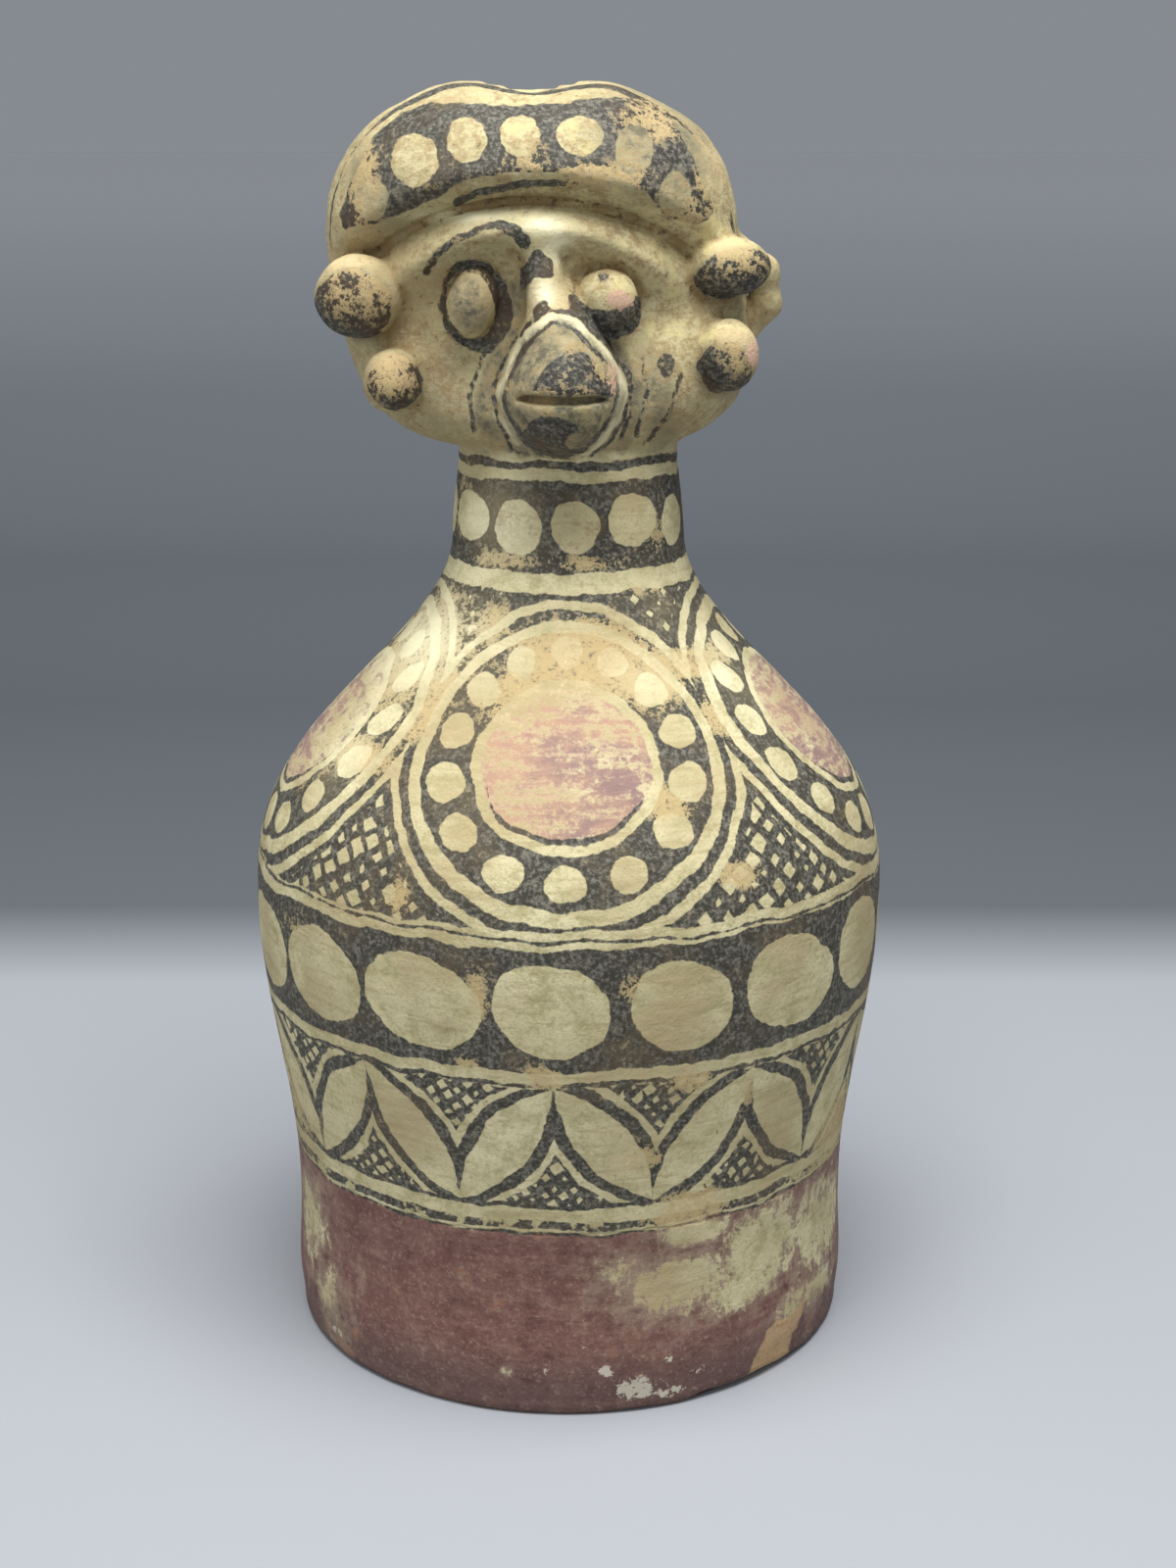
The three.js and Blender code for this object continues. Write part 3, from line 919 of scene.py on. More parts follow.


# %% [markdown]
# ## Wear, stains and painted shade
# Each patch is given by where it lies around and up the body, in degrees and mm, how far it
# spreads each way in mm, and how strong it is. The paint's own grain later breaks the soft
# edges up, so a patch ends in flecks and islands.

# %% Place wear, stains and painted shade on the body
WORN_PATCHES = (
    (6, 163, 13, 6, 1.2), (25, 159, 8, 5, 1.1), (45, 160, 12, 2.6, 1.1), (-12, 156, 8, 5, 0.7),
    (-39, 153, 4, 7, 1.0), (20, 136, 4, 4, 0.9), (31, 122, 5, 2.4, 1.0), (-30, 118, 3, 2.5, 0.6),
    (-61, 160, 17, 13, 0.75), (-52, 141, 10, 3.5, 0.9), (-66, 145, 9, 10, 0.6), (40, 150, 4, 4, 0.6),
    (-4, 81.5, 3.6, 2.2, 1.3), (-15, 99, 2.0, 5, 0.9), (11, 101, 4, 3.0, 0.6), (24, 47, 8, 4.5, 1.3),
    (12, 61, 6, 4, 0.7), (33, 74, 4, 4, 0.7), (-17, 83.5, 3, 1.6, 0.8), (22, 79, 4, 2.5, 0.9),
    (66, 52, 12, 12, 0.7), (-68, 62, 12, 14, 0.55), (150, 120, 20, 16, 0.7), (-140, 80, 16, 12, 0.6),
    (105, 66, 14, 10, 0.6), (-110, 150, 14, 10, 0.7), (-32, 181, 10, 2.4, 0.6), (10, 181, 10, 2.0, 0.5),
    (-66, 190, 5, 8, 0.45), (48, 186, 4, 4, 0.4), (-30, 168, 5, 5, 0.6), (36, 176, 6, 3, 0.5),
    (-55, 104, 8, 4, 0.3),
)
FOOT_RUBS = (
    (22, 30, 16, 8, 0.8), (42, 32, 16, 12, 0.85), (36, 24, 14, 6, 0.75), (60, 30, 12, 14, 0.7),
    (52, 14, 8, 5, 0.6), (10, 34, 10, 5, 0.5), (25, 41, 9, 3, 1.1), (-58, 14, 9, 12, 0.5),
    (-68, 28, 12, 14, 0.65), (62, 14, 14, 5, 0.6), (68, 28, 14, 14, 0.7),
    (-47, 27, 5, 5, 0.25), (-12, 10.5, 2, 1.2, 0.7), (-54, 6, 5, 2.4, 0.5), (120, 20, 22, 12, 0.5),
    (-130, 26, 18, 12, 0.5), (175, 12, 20, 8, 0.4),
)
BLEACHED_PATCHES = (
    (-60, 163, 18, 10, 1.0), (-56, 140, 8, 9, 0.5), (-36, 189, 9, 9, 0.8), (56, 158, 8, 12, 0.5),
    (40, 171, 6, 6, 0.4), (24, 158, 7, 4, 0.4), (-140, 150, 16, 12, 0.5), (130, 100, 12, 14, 0.4),
)
LIMED_PATCHES = (
    (20, 12, 2, 1.5, 0.9), (-24, 22, 1.5, 1.2, 0.9), (3, 17, 1.5, 1.2, 0.85), (18, 4, 12, 2.5, 0.85),
    (13, 6, 9, 4.5, 0.95), (7, 11, 4, 1.8, 0.9), (-4, 11, 3, 1.4, 0.9), (26, 8, 6, 2, 0.8),
    (-12, 10.5, 2, 1.2, 0.9), (-55, 6, 5, 2.4, 0.8),
    (32, 9.5, 12, 1.5, 0.55), (-58, 30, 5, 8, 0.5), (-62, 16, 4, 6, 0.6), (68, 16, 8, 2, 0.8),
    (110, 8, 10, 4, 0.6), (-120, 12, 12, 5, 0.6), (170, 9, 14, 4, 0.6),
)
# Partly painted shade: the patches round the top of the neck darken it under the chin, where the head's
# shadow falls. The others are stains.
STAINS_AND_SHADE = (
    (-30, 190, 6, 5, 0.8), (-17, 189, 5, 5, 0.7), (7, 188, 9, 6, 0.75), (-20, 91, 2.6, 2.0, 0.9),
    (-25, 98, 8, 8, 0.25), (28, 103, 4, 2.5, 0.5), (-2, 183, 8, 3, 0.5), (0, 170, 20, 5, 0.35),
)


def patches(points, places):
    total = np.zeros(len(points))
    radius = np.hypot(points[:, 0], points[:, 1])
    for around, height, half_wide, half_tall, strength in places:
        off = (turn_from_front(points) - around + 180) % 360 - 180
        along = np.radians(off) * radius / half_wide
        above = (points[:, 2] - height) / half_tall
        total = np.maximum(total, strength * np.exp(-(along ** 2 + above ** 2)))
    return total


print("patches on the body:", len(WORN_PATCHES), "worn,", len(FOOT_RUBS), "rubbed,",
      len(BLEACHED_PATCHES), "bleached,", len(LIMED_PATCHES), "limed,", len(STAINS_AND_SHADE), "stained and shaded")


# %% [markdown]
# ## The face's drawing
# On the head the brush followed the modelling instead of a turning wheel, so its strokes are
# placed on a drawing of the face, in mm across and above the throat. Each vertex gets its
# distance to the nearest edge of ink, less than zero inside. The shader only has to ask
# where that number is below zero, and the edges stay sharp at any size. Three kinds of mark
# are enough: a spot, a stroke of the brush along a bent line, and a filled shape.

# %% Draw spots, strokes and filled shapes
def spot(u, w, across, rise, half_wide, half_tall, tilt=0.0):
    turn = math.radians(tilt)
    du, dw = u - across, w - rise
    du, dw = du * math.cos(turn) + dw * math.sin(turn), dw * math.cos(turn) - du * math.sin(turn)
    return (np.hypot(du / half_wide, dw / half_tall) - 1) * min(half_wide, half_tall)


def stroke(u, w, bends, half_wide):
    nearest = np.full(u.shape, 99.0)
    for (u0, w0), (u1, w1) in zip(bends, bends[1:]):
        length = (u1 - u0) ** 2 + (w1 - w0) ** 2
        part = np.clip(((u - u0) * (u1 - u0) + (w - w0) * (w1 - w0)) / length, 0, 1)
        nearest = np.minimum(nearest, np.hypot(u - u0 - part * (u1 - u0), w - w0 - part * (w1 - w0)))
    return nearest - half_wide


def filled(u, w, bends):
    closed = list(bends) + [bends[0]]
    inside = np.zeros(u.shape, dtype=bool)
    for (u0, w0), (u1, w1) in zip(closed, closed[1:]):
        if w0 != w1:
            inside ^= ((w0 > w) != (w1 > w)) & (u < (u1 - u0) * (w - w0) / (w1 - w0) + u0)
    edge = stroke(u, w, closed, 0.0)
    return np.where(inside, -edge, edge)


def smudges(u, w, places):
    """Soft patches, given by where they lie, how far they spread each way and how strong."""
    return np.maximum.reduce([
        strength * np.exp(-(((u - x) / wide) ** 2 + ((w - y) / tall) ** 2))
        for x, y, wide, tall, strength in places])


print("from the middle of a 4 mm spot to its edge, mm:", float(spot(0.0, 0.0, 0, 0, 4, 4)))


# %% [markdown]
# ### The lines of the drawing
# The headband is one dark fold with cream dots left open in it. The rest is a few lines: one
# under the band, one over the eye, a patch at the top of the nose, a loop round the muzzle
# and loose strokes down the cheeks. They are laid down as bent lines with a few corners,
# which the unsteady hand of a later step rounds off.

# %% Lay down the lines of the drawing
BAND_TOP = (
    (-46.6, 49.1), (-44.5, 55.3), (-39.2, 64.5), (-32.7, 69.6), (-27, 71.6), (-14.4, 71.0), (-3, 71.0),
    (9.7, 72.4), (16, 72.0), (21, 68.5), (26, 60), (30.5, 49.7),
)
BAND_FOOT = (
    (27.2, 47.2), (21.4, 48.5), (16.2, 53.5), (9.8, 56.9), (1.5, 57.5), (-9.4, 57.5), (-18.3, 56.6),
    (-23.4, 54.4), (-33.1, 49.7), (-38.6, 47.9), (-46, 46),
)
BAND_DOTS = (
    (-39.8, 52.2, 3.5, 4.0), (-30.9, 60.1, 4.9, 5.3), (-20.3, 64.1, 4.1, 4.4), (-9.3, 64.9, 4.3, 3.9),
    (2.8, 64.7, 4.5, 3.9), (13.6, 62.1, 4.0, 4.9), (22.1, 53.8, 3.2, 4.2),
)
UNDER_LINE = ((-22.8, 51.6), (-18.3, 53.5), (-10.7, 54.8), (0.8, 55.8), (8, 55.6))
BROW_LINE = ((-28.8, 37.8), (-26.2, 41.6), (-22.3, 44.7), (-17.1, 46.6), (-13.3, 47.2))
BROW_END = ((-13.3, 46.9), (-10.4, 46.0), (-8.6, 43.6))
NOSE_PATCH = ((-6.4, 42.4), (-3.0, 40.0), (-2.2, 36.7), (-6.6, 36.7), (-9.5, 33.3), (-9.1, 38.5))
MUZZLE_LINE = (
    (-3.7, 28.9), (-9.5, 23.2), (-12.8, 17.4), (-14.5, 12.2), (-13.6, 7.7), (-10.3, 2.4), (-5.7, -0.9),
    (-1.1, -1.6), (3.5, -0.2), (7.4, 3.1), (10.7, 7.7), (12.0, 12.9), (11.3, 16.8), (7.4, 21.9),
    (1.5, 27.7), (-3.7, 28.9),
)
LIP_PATCH = (
    (0.4, 22.1), (-4.7, 18.3), (-6.9, 13.0), (0, 12.4), (6, 12.6), (10.2, 12.4), (8.2, 16.6), (3.6, 21.5),
)
SIDE_BANDS = (
    ((-9.8, 34.2), (-11.1, 27.9), (-13.6, 21.5), (-16.6, 15.1), (-18.1, 8.7), (-14.6, 3.6), (-9.6, 0.0)),
    ((5.5, 28.5), (11.0, 21.5), (14.2, 15.1), (14.6, 8.7), (11.2, 1.5)),
)
CHEEK_LINES = (
    ((4.5, 28.5), (9.5, 22.5), (13.2, 16.5), (14.0, 9.5), (11.0, 3.5)),
    ((15.5, 20), (17, 12), (14.5, 4)), ((24, 17), (21.5, 9), (17, 3)),
    ((-17, 22), (-20.5, 14), (-19.5, 5)),
)
print("dots on the headband:", len(BAND_DOTS), "and lines on the cheeks:", len(CHEEK_LINES))


# %% [markdown]
# ### Ink on the band, the face and the ears
# A dark ring round each eye is a spot with a smaller spot taken out of it. The muzzle's line
# is drawn last and keeps a clear cream margin, so whatever ink lies under it is pushed back.

# %% Ink the band, the face and the ears
RING_LINE_HALF, RING_LINE_OFF, MUZZLE_MARGIN = 0.42, 1.25, 0.7


def band_ink(u, w):
    field = filled(u, w, BAND_TOP + BAND_FOOT)
    dots = np.minimum.reduce([spot(u, w, *dot) for dot in BAND_DOTS])
    return np.maximum(field, -dots)


def face_ink(u, w):
    left = np.maximum(spot(u, w, -18.8, 30.9, 7.5, 9.6, 12), -spot(u, w, -20.0, 31.2, 5.0, 7.3, 14))
    right = np.maximum(spot(u, w, 8.0, 31.0, 7.6, 7.2), -spot(u, w, 8.2, 34.2, 6.4, 4.4))
    chin = np.maximum(spot(u, w, -3.1, 3.4, 6.3, 4.9), -spot(u, w, 2.4, 2.8, 2.9, 1.8, 10))
    marks = (left, right, chin, stroke(u, w, UNDER_LINE, 0.7), stroke(u, w, BROW_LINE, 0.7),
             stroke(u, w, BROW_END, 1.3), filled(u, w, NOSE_PATCH), filled(u, w, LIP_PATCH),
             spot(u, w, -5.4, 30.2, 2.2, 1.0, 50), spot(u, w, 7.6, 36.6, 1.1, 0.8, 20),
             spot(u, w, 20.7, 18.7, 1.8, 2.6),
             *(stroke(u, w, line, 0.45) for line in CHEEK_LINES))
    muzzle = stroke(u, w, MUZZLE_LINE, 0.0)
    ring_line = np.abs(muzzle - RING_LINE_OFF) - RING_LINE_HALF
    return np.maximum(np.minimum(np.minimum.reduce(marks), ring_line), MUZZLE_MARGIN - muzzle)


def ear_ink(u, w):
    return np.minimum.reduce([
        spot(u, w, -44.2, 31.0, 8.0, 7.2), spot(u, w, -36.0, 15.0, 5.6, 5.8, -20),
        spot(u, w, 34.4, 37.4, 8.0, 5.0, 15), spot(u, w, 32.8, 17.8, 6.0, 5.8, 25)])


between_dots = band_ink(np.array([-3.0]), np.array([64.8]))
print("from between two dots to the edge of the ink, mm:", round(float(between_dots[0]), 1))


# %% [markdown]
# ### Grey wash, clean slip and painted highlight
# Thinned black has run over the muzzle, the ears and one eye as a grey veil. The ridges of the
# brow and nose are made paler, partly as slip that hands have left clean and partly as a
# painted highlight where they face the light from above, and the muzzle keeps a pale rim.
# Both are soft, so they are shares from 0 to 1.

# %% Wash some places grey and make the ridges pale, partly as painted highlight
# Partly painted highlight: the brow and nose ridges, made paler where they face the light from above.
PALE_AND_HIGHLIT_RIDGES = (
    (-4.5, 47.0, 5.0, 2.8, 1.0), (-1.5, 43.0, 3.0, 3.5, 1.0), (-21, 49.0, 10, 1.3, 1.0),
    (-4.4, 33.5, 2.2, 3.0, 1.0),
)
GREY_PLACES = (
    ((-20.4, 31.6, 3.9, 6.0, 14), 1.5, 1.0), ((18.6, 12, 3.6, 9.5, 12), 2.5, 0.9),
    ((17, 63, 13, 9, -30), 4.0, 0.9), ((-40, 55, 5, 10, 30), 4.0, 0.7),
    ((-8, 0, 16, 3.5), 2.5, 0.5), ((-27, 12, 8, 10), 4.0, 0.4),
)


def fading(distance, soft):
    """1 inside a shape and 0 outside it, soft either side of its edge."""
    return smooth_step(soft, -soft, distance)


def grey_wash(u, w):
    muzzle = filled(u, w, MUZZLE_LINE[:-1])
    sides = [fading(stroke(u, w, band, half), 0.8) for band, half in zip(SIDE_BANDS, (2.0, 1.3))]
    spots = [strength * fading(spot(u, w, *place), soft) for place, soft, strength in GREY_PLACES]
    return np.maximum.reduce([*sides, fading(muzzle, 0.8), 0.9 * fading(ear_ink(u, w), 1.5), *spots])


def pale_slip_and_highlight(u, w):
    rim_of_muzzle = fading(stroke(u, w, MUZZLE_LINE, 0.7), 0.8)
    return np.maximum(smudges(u, w, PALE_AND_HIGHLIT_RIDGES), 0.8 * rim_of_muzzle)


print("grey places:", len(GREY_PLACES) + len(SIDE_BANDS) + 2,
      "and clean ones:", len(PALE_AND_HIGHLIT_RIDGES) + 1)


# %% [markdown]
# ### The band's edge, and where the ears' ink ends
# A line runs from ear to ear over the crown, and once more behind. It is worked out on the
# head itself, because a line that is drawn from the front smears where the crown turns away.
# For the same reason the ears' ink is kept within a millimetre or so of the pellets.

# %% Line the crown and keep the ears' ink on the ears
RIM_SIDE_Y, RIM_TOP_Y, RIM_BACK_Y, RIM_HALF_MM, RIM_FOOT = -10.5, -11.5, 11.0, 1.3, 41.0
EAR_REACH = 1.12


def off_ears(points):
    """Distance to the nearest ear pellet, so that its ink doesn't run on behind it."""
    balls = []
    for ear in EARS:
        middle = ear_middle(ear)
        size = np.sqrt(sum(((points[:, i] - middle[i]) / ear["radii"][i]) ** 2 for i in range(3)))
        balls.append((size - EAR_REACH) * min(ear["radii"]))
    return np.minimum.reduce(balls)


def rim_line(points, sway):
    """The band's edge line, from ear to ear over the top, and once more behind."""
    rise = points[:, 2] - THROAT_MM
    front_line = RIM_SIDE_Y + (RIM_TOP_Y - RIM_SIDE_Y) * smooth_step(60, 74, rise)
    nearest = np.minimum(abs(points[:, 1] - front_line), abs(points[:, 1] - RIM_BACK_Y)) + sway
    return np.maximum(nearest - RIM_HALF_MM * (0.5 + smooth_step(62, 74, rise)), RIM_FOOT - rise)


print("vertices on the ear pellets:", int((off_ears(points) < 0).sum()))


# %% [markdown]
# ### Laying the drawing on the head
# The drawing is laid on the head along the way the painter looked at it, as if it were thrown
# on from a lamp. Waves of half a millimetre, taken from the place on the head, make the lines
# unsteady. The back of the head only gets the band again, seen from behind.

# %% Lay the drawing on the head
VIEW_DEPTH_MM, SWAY_MM = 25.0, 0.45
FACE_ENDS_Y, BAND_ENDS_Y, BACK_STARTS_Y = 1.5, (-6, -2), (16, 11)
GAP_DEPTH, GAP_START, NO_INK = 14.0, 5.0, 9.0


def on_drawing(points):
    """Where each point falls on the drawing, across and above the throat, and its sway."""
    nearer = (CAMERA_PLACE_MM[1] + VIEW_DEPTH_MM) / (CAMERA_PLACE_MM[1] - points[:, 1])
    sway = [lumps([points[:, i] + 300 for i in range(3)], 5.0, seed) * SWAY_MM for seed in (21, 22)]
    u = CAMERA_PLACE_MM[0] + (points[:, 0] - CAMERA_PLACE_MM[0]) * nearer + sway[0]
    w = CAMERA_PLACE_MM[2] + (points[:, 2] - CAMERA_PLACE_MM[2]) * nearer - THROAT_MM + sway[1]
    return u, w, sway[0]


def head_ink(points, u, w, sway, in_front):
    side_gap = smooth_step(*BAND_ENDS_Y, points[:, 1]) * smooth_step(*BACK_STARTS_Y, points[:, 1])
    band = np.maximum(band_ink(u, w), GAP_DEPTH * side_gap - GAP_START)
    face = np.minimum(face_ink(u, w), np.maximum(ear_ink(u, w), off_ears(points)))
    return np.minimum(np.where(in_front, np.minimum(band, face), band), rim_line(points, sway))


u, w, sway = on_drawing(points)
in_front = points[:, 1] < FACE_ENDS_Y
above_throat = points[:, 2] > THROAT_MM - 1
shown = above_throat & in_front
ink = head_ink(points, u, w, sway, in_front)
note(vessel.data, "ink", np.where(above_throat, ink, NO_INK))
ears_only = np.where(off_ears(points) < 0.5, 1.0, smooth_step(46, 36, abs(u + 5)))
note(vessel.data, "veil", np.where(shown, grey_wash(u, w) * ears_only, 0.0))
print("head vertices seen from the front:", int(shown.sum()))


# %% [markdown]
# ### Wear, grime and painted shade on the head
# The head has been handled most. Paint is gone from the band's right end, the brow and the
# ears, and small chips show pink clay. Grime sits round the nose, and the darker patches under
# the band and the brows, at the ears and on the left cheek are partly grime and partly painted
# shade. Below the throat the body's own patches hold, so each note is put together from both.

# %% Place the wear on the head and note it all
HEAD_PATCHES = (
    (17, 67, 8, 5, 0.5), (8, 57, 8, 2.4, 1.0), (24, 50, 6, 6, 0.45), (-8, 60, 6, 3, 0.4),
    (30, 60, 4, 12, 0.8), (-42, 58, 4, 9, 0.55), (-38, 35, 4, 5, 0.5), (33, 43, 7, 3, 0.8),
    (-44, 40, 8, 2.2, 1.2), (-38, 20, 6, 2, 1.0), (36, 24.5, 6, 2.2, 1.3), (-10, 14, 3, 2, 0.7),
    (8, 18, 3, 4, 0.5), (-20, 32, 3, 5, 0.5), (-47, 33, 5, 6, 0.34), (-41, 33, 3, 4, 0.4),
    (-36, 15.5, 5, 4, 0.36), (35, 39, 7, 4, 0.38), (35, 20, 4, 4, 0.36), (18, 12, 5, 9, 0.3),
    (0, 18, 5, 6, 0.28), (-18, 14, 3, 8, 0.3),
)
PINK_CHIPS = ((10.9, 32.1, 2.5, 2.1), (38.9, 20.4, 1.3, 2.8), (9.6, 16.5, 0.9, 2.2))
# Partly grime and partly painted shade: the patches under the band and brows, between the right ear's
# pellets and on the left cheek.
GRIME_AND_SHADE_PATCHES = (
    (-27, 17, 10, 8, 0.75), (-33, 25, 6, 5, 0.8), (-36, 7, 8, 4, 0.6), (-30, 43, 9, 2.5, 0.8),
    (-12, 36, 2.5, 5, 0.7), (20, 40, 9, 3, 0.6), (14, 46, 10, 3, 0.5), (26, 17, 5, 9, 0.7),
    (24, 7, 10, 4, 0.6), (-9, 54, 16, 2.2, 0.7), (20, 53, 9, 3, 0.5), (27, 66, 5, 8, 0.5),
    (-41, 41, 6, 3, 0.6), (-25, 4, 10, 4, 0.5), (34, 29, 5, 3, 0.8),
)
TAN_SPOTS = ((-34.1, 13.8, 2.0, 1.9), (2.4, 2.8, 2.8, 1.7))


def nearest_spot(places):
    return np.minimum.reduce([spot(u, w, *place) for place in places])


tan = 0.8 * smooth_step(0.4, -0.4, nearest_spot(TAN_SPOTS))
# On the head, the stain note carries grime and painted shade.
head_stain_and_shade = np.where(shown, np.maximum(tan, smudges(u, w, GRIME_AND_SHADE_PATCHES)), 0.35 * above_throat)
head_worn = np.where(shown, smudges(u, w, HEAD_PATCHES), 0.15 * above_throat)
head_pale_and_highlit = np.where(shown, pale_slip_and_highlight(u, w), 0.0)
below = points[:, 2] < THROAT_MM
note(vessel.data, "pink", np.where(shown, nearest_spot(PINK_CHIPS), NO_INK))
note(vessel.data, "worn", np.where(below, patches(points, WORN_PATCHES), head_worn))
note(vessel.data, "rubbed", patches(points, FOOT_RUBS))
# On the head this note carries the pale ridges, partly a painted highlight. On the body it carries
# bleaching.
note(vessel.data, "bleached_and_highlit", np.where(below, patches(points, BLEACHED_PATCHES), head_pale_and_highlit))
note(vessel.data, "limed", patches(points, LIMED_PATCHES))
note(vessel.data, "stain_and_shade", np.where(below, patches(points, STAINS_AND_SHADE), head_stain_and_shade))
print("notes:", [layer.name for layer in vessel.data.attributes if layer.data_type == "FLOAT"])


# %% [markdown]
# ## The ground of the painting
# All patterns are worked out in the shader from where a point is: its turn around the
# vessel, its run along the outline and its height. A painter's hand wavers, so a soft noise
# first moves the point a little, and a finer one roughens each edge like a dry brush.

# %% Read the place of a point
HAND_WAVER_MM, EDGE_ROUGH_MM = 1.5, 0.75

clay.use_nodes = True
paint_tree = clay.node_tree
surface = paint_tree.nodes["Principled BSDF"]
place_node = paint_tree.nodes.new("ShaderNodeTexCoord")


def parts_of(socket, kind="ShaderNodeSeparateXYZ"):
    node = paint_tree.nodes.new(kind)
    paint_tree.links.new(socket, node.inputs[0])
    return [Wire(paint_tree, output) for output in node.outputs[:3]]


def grain(size_mm, detail=2.0, stretch=(1, 1, 1), shift=0.0, rough=0.55):
    """Noise with grains about size_mm wide, longer along an axis where stretch is over 1."""
    move = paint_tree.nodes.new("ShaderNodeVectorMath")
    move.operation = "MULTIPLY_ADD"
    paint_tree.links.new(place_node.outputs["Object"], move.inputs[0])
    move.inputs[1].default_value = [1 / (MM * size_mm * s) for s in stretch]
    move.inputs[2].default_value = (shift, shift * 1.7, shift * 0.6)
    node = paint_tree.nodes.new("ShaderNodeTexNoise")
    node.inputs["Scale"].default_value = 1.0
    node.inputs["Detail"].default_value = detail
    node.inputs["Roughness"].default_value = rough
    paint_tree.links.new(move.outputs[0], node.inputs["Vector"])
    return node


def of(node):
    return Wire(paint_tree, node.outputs[0])


def carried(name):
    node = paint_tree.nodes.new("ShaderNodeAttribute")
    node.attribute_name = name
    return Wire(paint_tree, node.outputs["Fac"])


across, back, up = (wire / MM for wire in parts_of(place_node.outputs["Object"]))
hand = parts_of(grain(11, 1.0).outputs["Color"], "ShaderNodeSeparateColor")
waver = [(wire - 0.5) * (2 * HAND_WAVER_MM) for wire in hand]
rough_edge = (of(grain(2.4, 3.0, shift=4)) - 0.5) * (2 * EDGE_ROUGH_MM)
radius = (across * across + back * back).math("SQRT")
turn = across.math("ARCTAN2", -back) + waver[0] / radius.math("MAXIMUM", 5.0)
height = up + waver[1]
run = carried("run") + waver[1]
print("shader nodes that read a point's place:", len(paint_tree.nodes))


# %% [markdown]
# ## Shapes the brush makes
# Every painted shape is a distance in mm, less than zero inside. The smaller of two
# distances joins two shapes, the larger keeps only what both share, and a minus sign turns
# a shape inside out. A band of cells around the vessel repeats a shape, and dice that are
# thrown once for each cell make each oval a little different from the next.

# %% Make rings and ovals
OVAL_VARIETY = 0.14


def ring(value, low, high):
    return abs(value - (low + high) / 2) - (high - low) / 2


def dice(number, seed):
    node = paint_tree.nodes.new("ShaderNodeTexWhiteNoise")
    node.noise_dimensions = "1D"
    paint_tree.links.new((number * 1.37 + seed).socket, node.inputs["W"])
    return [wire - 0.5 for wire in parts_of(node.outputs["Color"], "ShaderNodeSeparateColor")]


def cells(angle, count, first_deg):
    """The share of a cell that the point is off its middle, and the cell's number."""
    place = (angle - math.radians(first_deg)) * (count / (2 * math.pi))
    number = place.math("ROUND")
    return place - number, number.math("FLOORED_MODULO", float(count))


def ovals(count, first_deg, pitch_mm, middle, half_wide, half_tall, seed, slant=0.0):
    off, number = cells(turn, count, first_deg)
    throw = dice(number, seed)
    rise = height - middle - throw[0] * 1.6
    along = off * pitch_mm + throw[1] * 1.4 + rise * slant
    wide = (throw[2] * (2 * OVAL_VARIETY) + 1.0) * half_wide
    size = ((along / wide) ** 2.0 + (rise / half_tall) ** 2.0).math("SQRT")
    return (size - 1.0) * min(half_wide, half_tall)


neck_ovals = ovals(12, 5, 13.6, 188.8, 5.8, 5.6, seed=1.3)
belt_ovals = ovals(16, -2.5, 28.2, 96.8, 12.4, 10.2, seed=7.9, slant=0.12)
print("shader nodes with two rows of ovals:", len(paint_tree.nodes))


# %% [markdown]
# ### Hatching
# The corners between the large shapes are filled with black and then picked out with small
# cream squares. They stand on a slanting lattice that is measured along the skin. Each is
# moved and sized by its own throw of the dice, and the smallest are missing altogether.

# %% Hatch with small squares
HATCH_TILT_DEG, BODY_RADIUS_THERE, NECK_FROM, NECK_NARROWER = 37, 70.0, 160.0, 38.0


def hatching(pitch, square_share):
    tilt = math.radians(HATCH_TILT_DEG)
    along = turn * (BODY_RADIUS_THERE - up.math("GREATER_THAN", NECK_FROM) * NECK_NARROWER)
    sides = (along * math.cos(tilt) + run * math.sin(tilt),
             run * math.cos(tilt) - along * math.sin(tilt))
    places = [side / pitch for side in sides]
    numbers = [place.math("FLOOR") for place in places]
    throw = dice(numbers[0] * 7.31 + numbers[1] * 3.17, 0.4)
    offs = [abs(place - number - 0.5 - toss * 0.22)
            for place, number, toss in zip(places, numbers, throw)]
    half = (throw[2] * 0.26 + square_share / 2).math("MAXIMUM", 0.0)
    return (offs[0].math("MAXIMUM", offs[1]) - half) * pitch


wider_above = up.math("GREATER_THAN", 100.0) * 1.3
squares = hatching(wider_above + 3.0, 0.48 - up.math("GREATER_THAN", NECK_FROM) * 0.16)
print("shader nodes with the hatching:", len(paint_tree.nodes))


# %% [markdown]
# ### Medallions on the shoulder
# Four plum discs lie round the shoulder, one in front, one at each side and one behind. Each
# has a wreath of dots and two rings. The turn is folded, so that it is always measured from
# the middle of the nearest disc, and one drawing then serves all four.

# %% Fold the shoulder into medallions
SIDE_TURN = math.radians(79)
MEDALLION_RUN, MEDALLION_RADIUS_THERE = 150.0, 55.0
DOT_COUNT, DOT_RING, DOT_RADIUS = 14, 26.2, 3.9
DISC_EDGE, INNER_RING, FIRST_RING, SECOND_RING = 18.0, (18.2, 20.2), (31.5, 34.6), (37.1, 39.2)


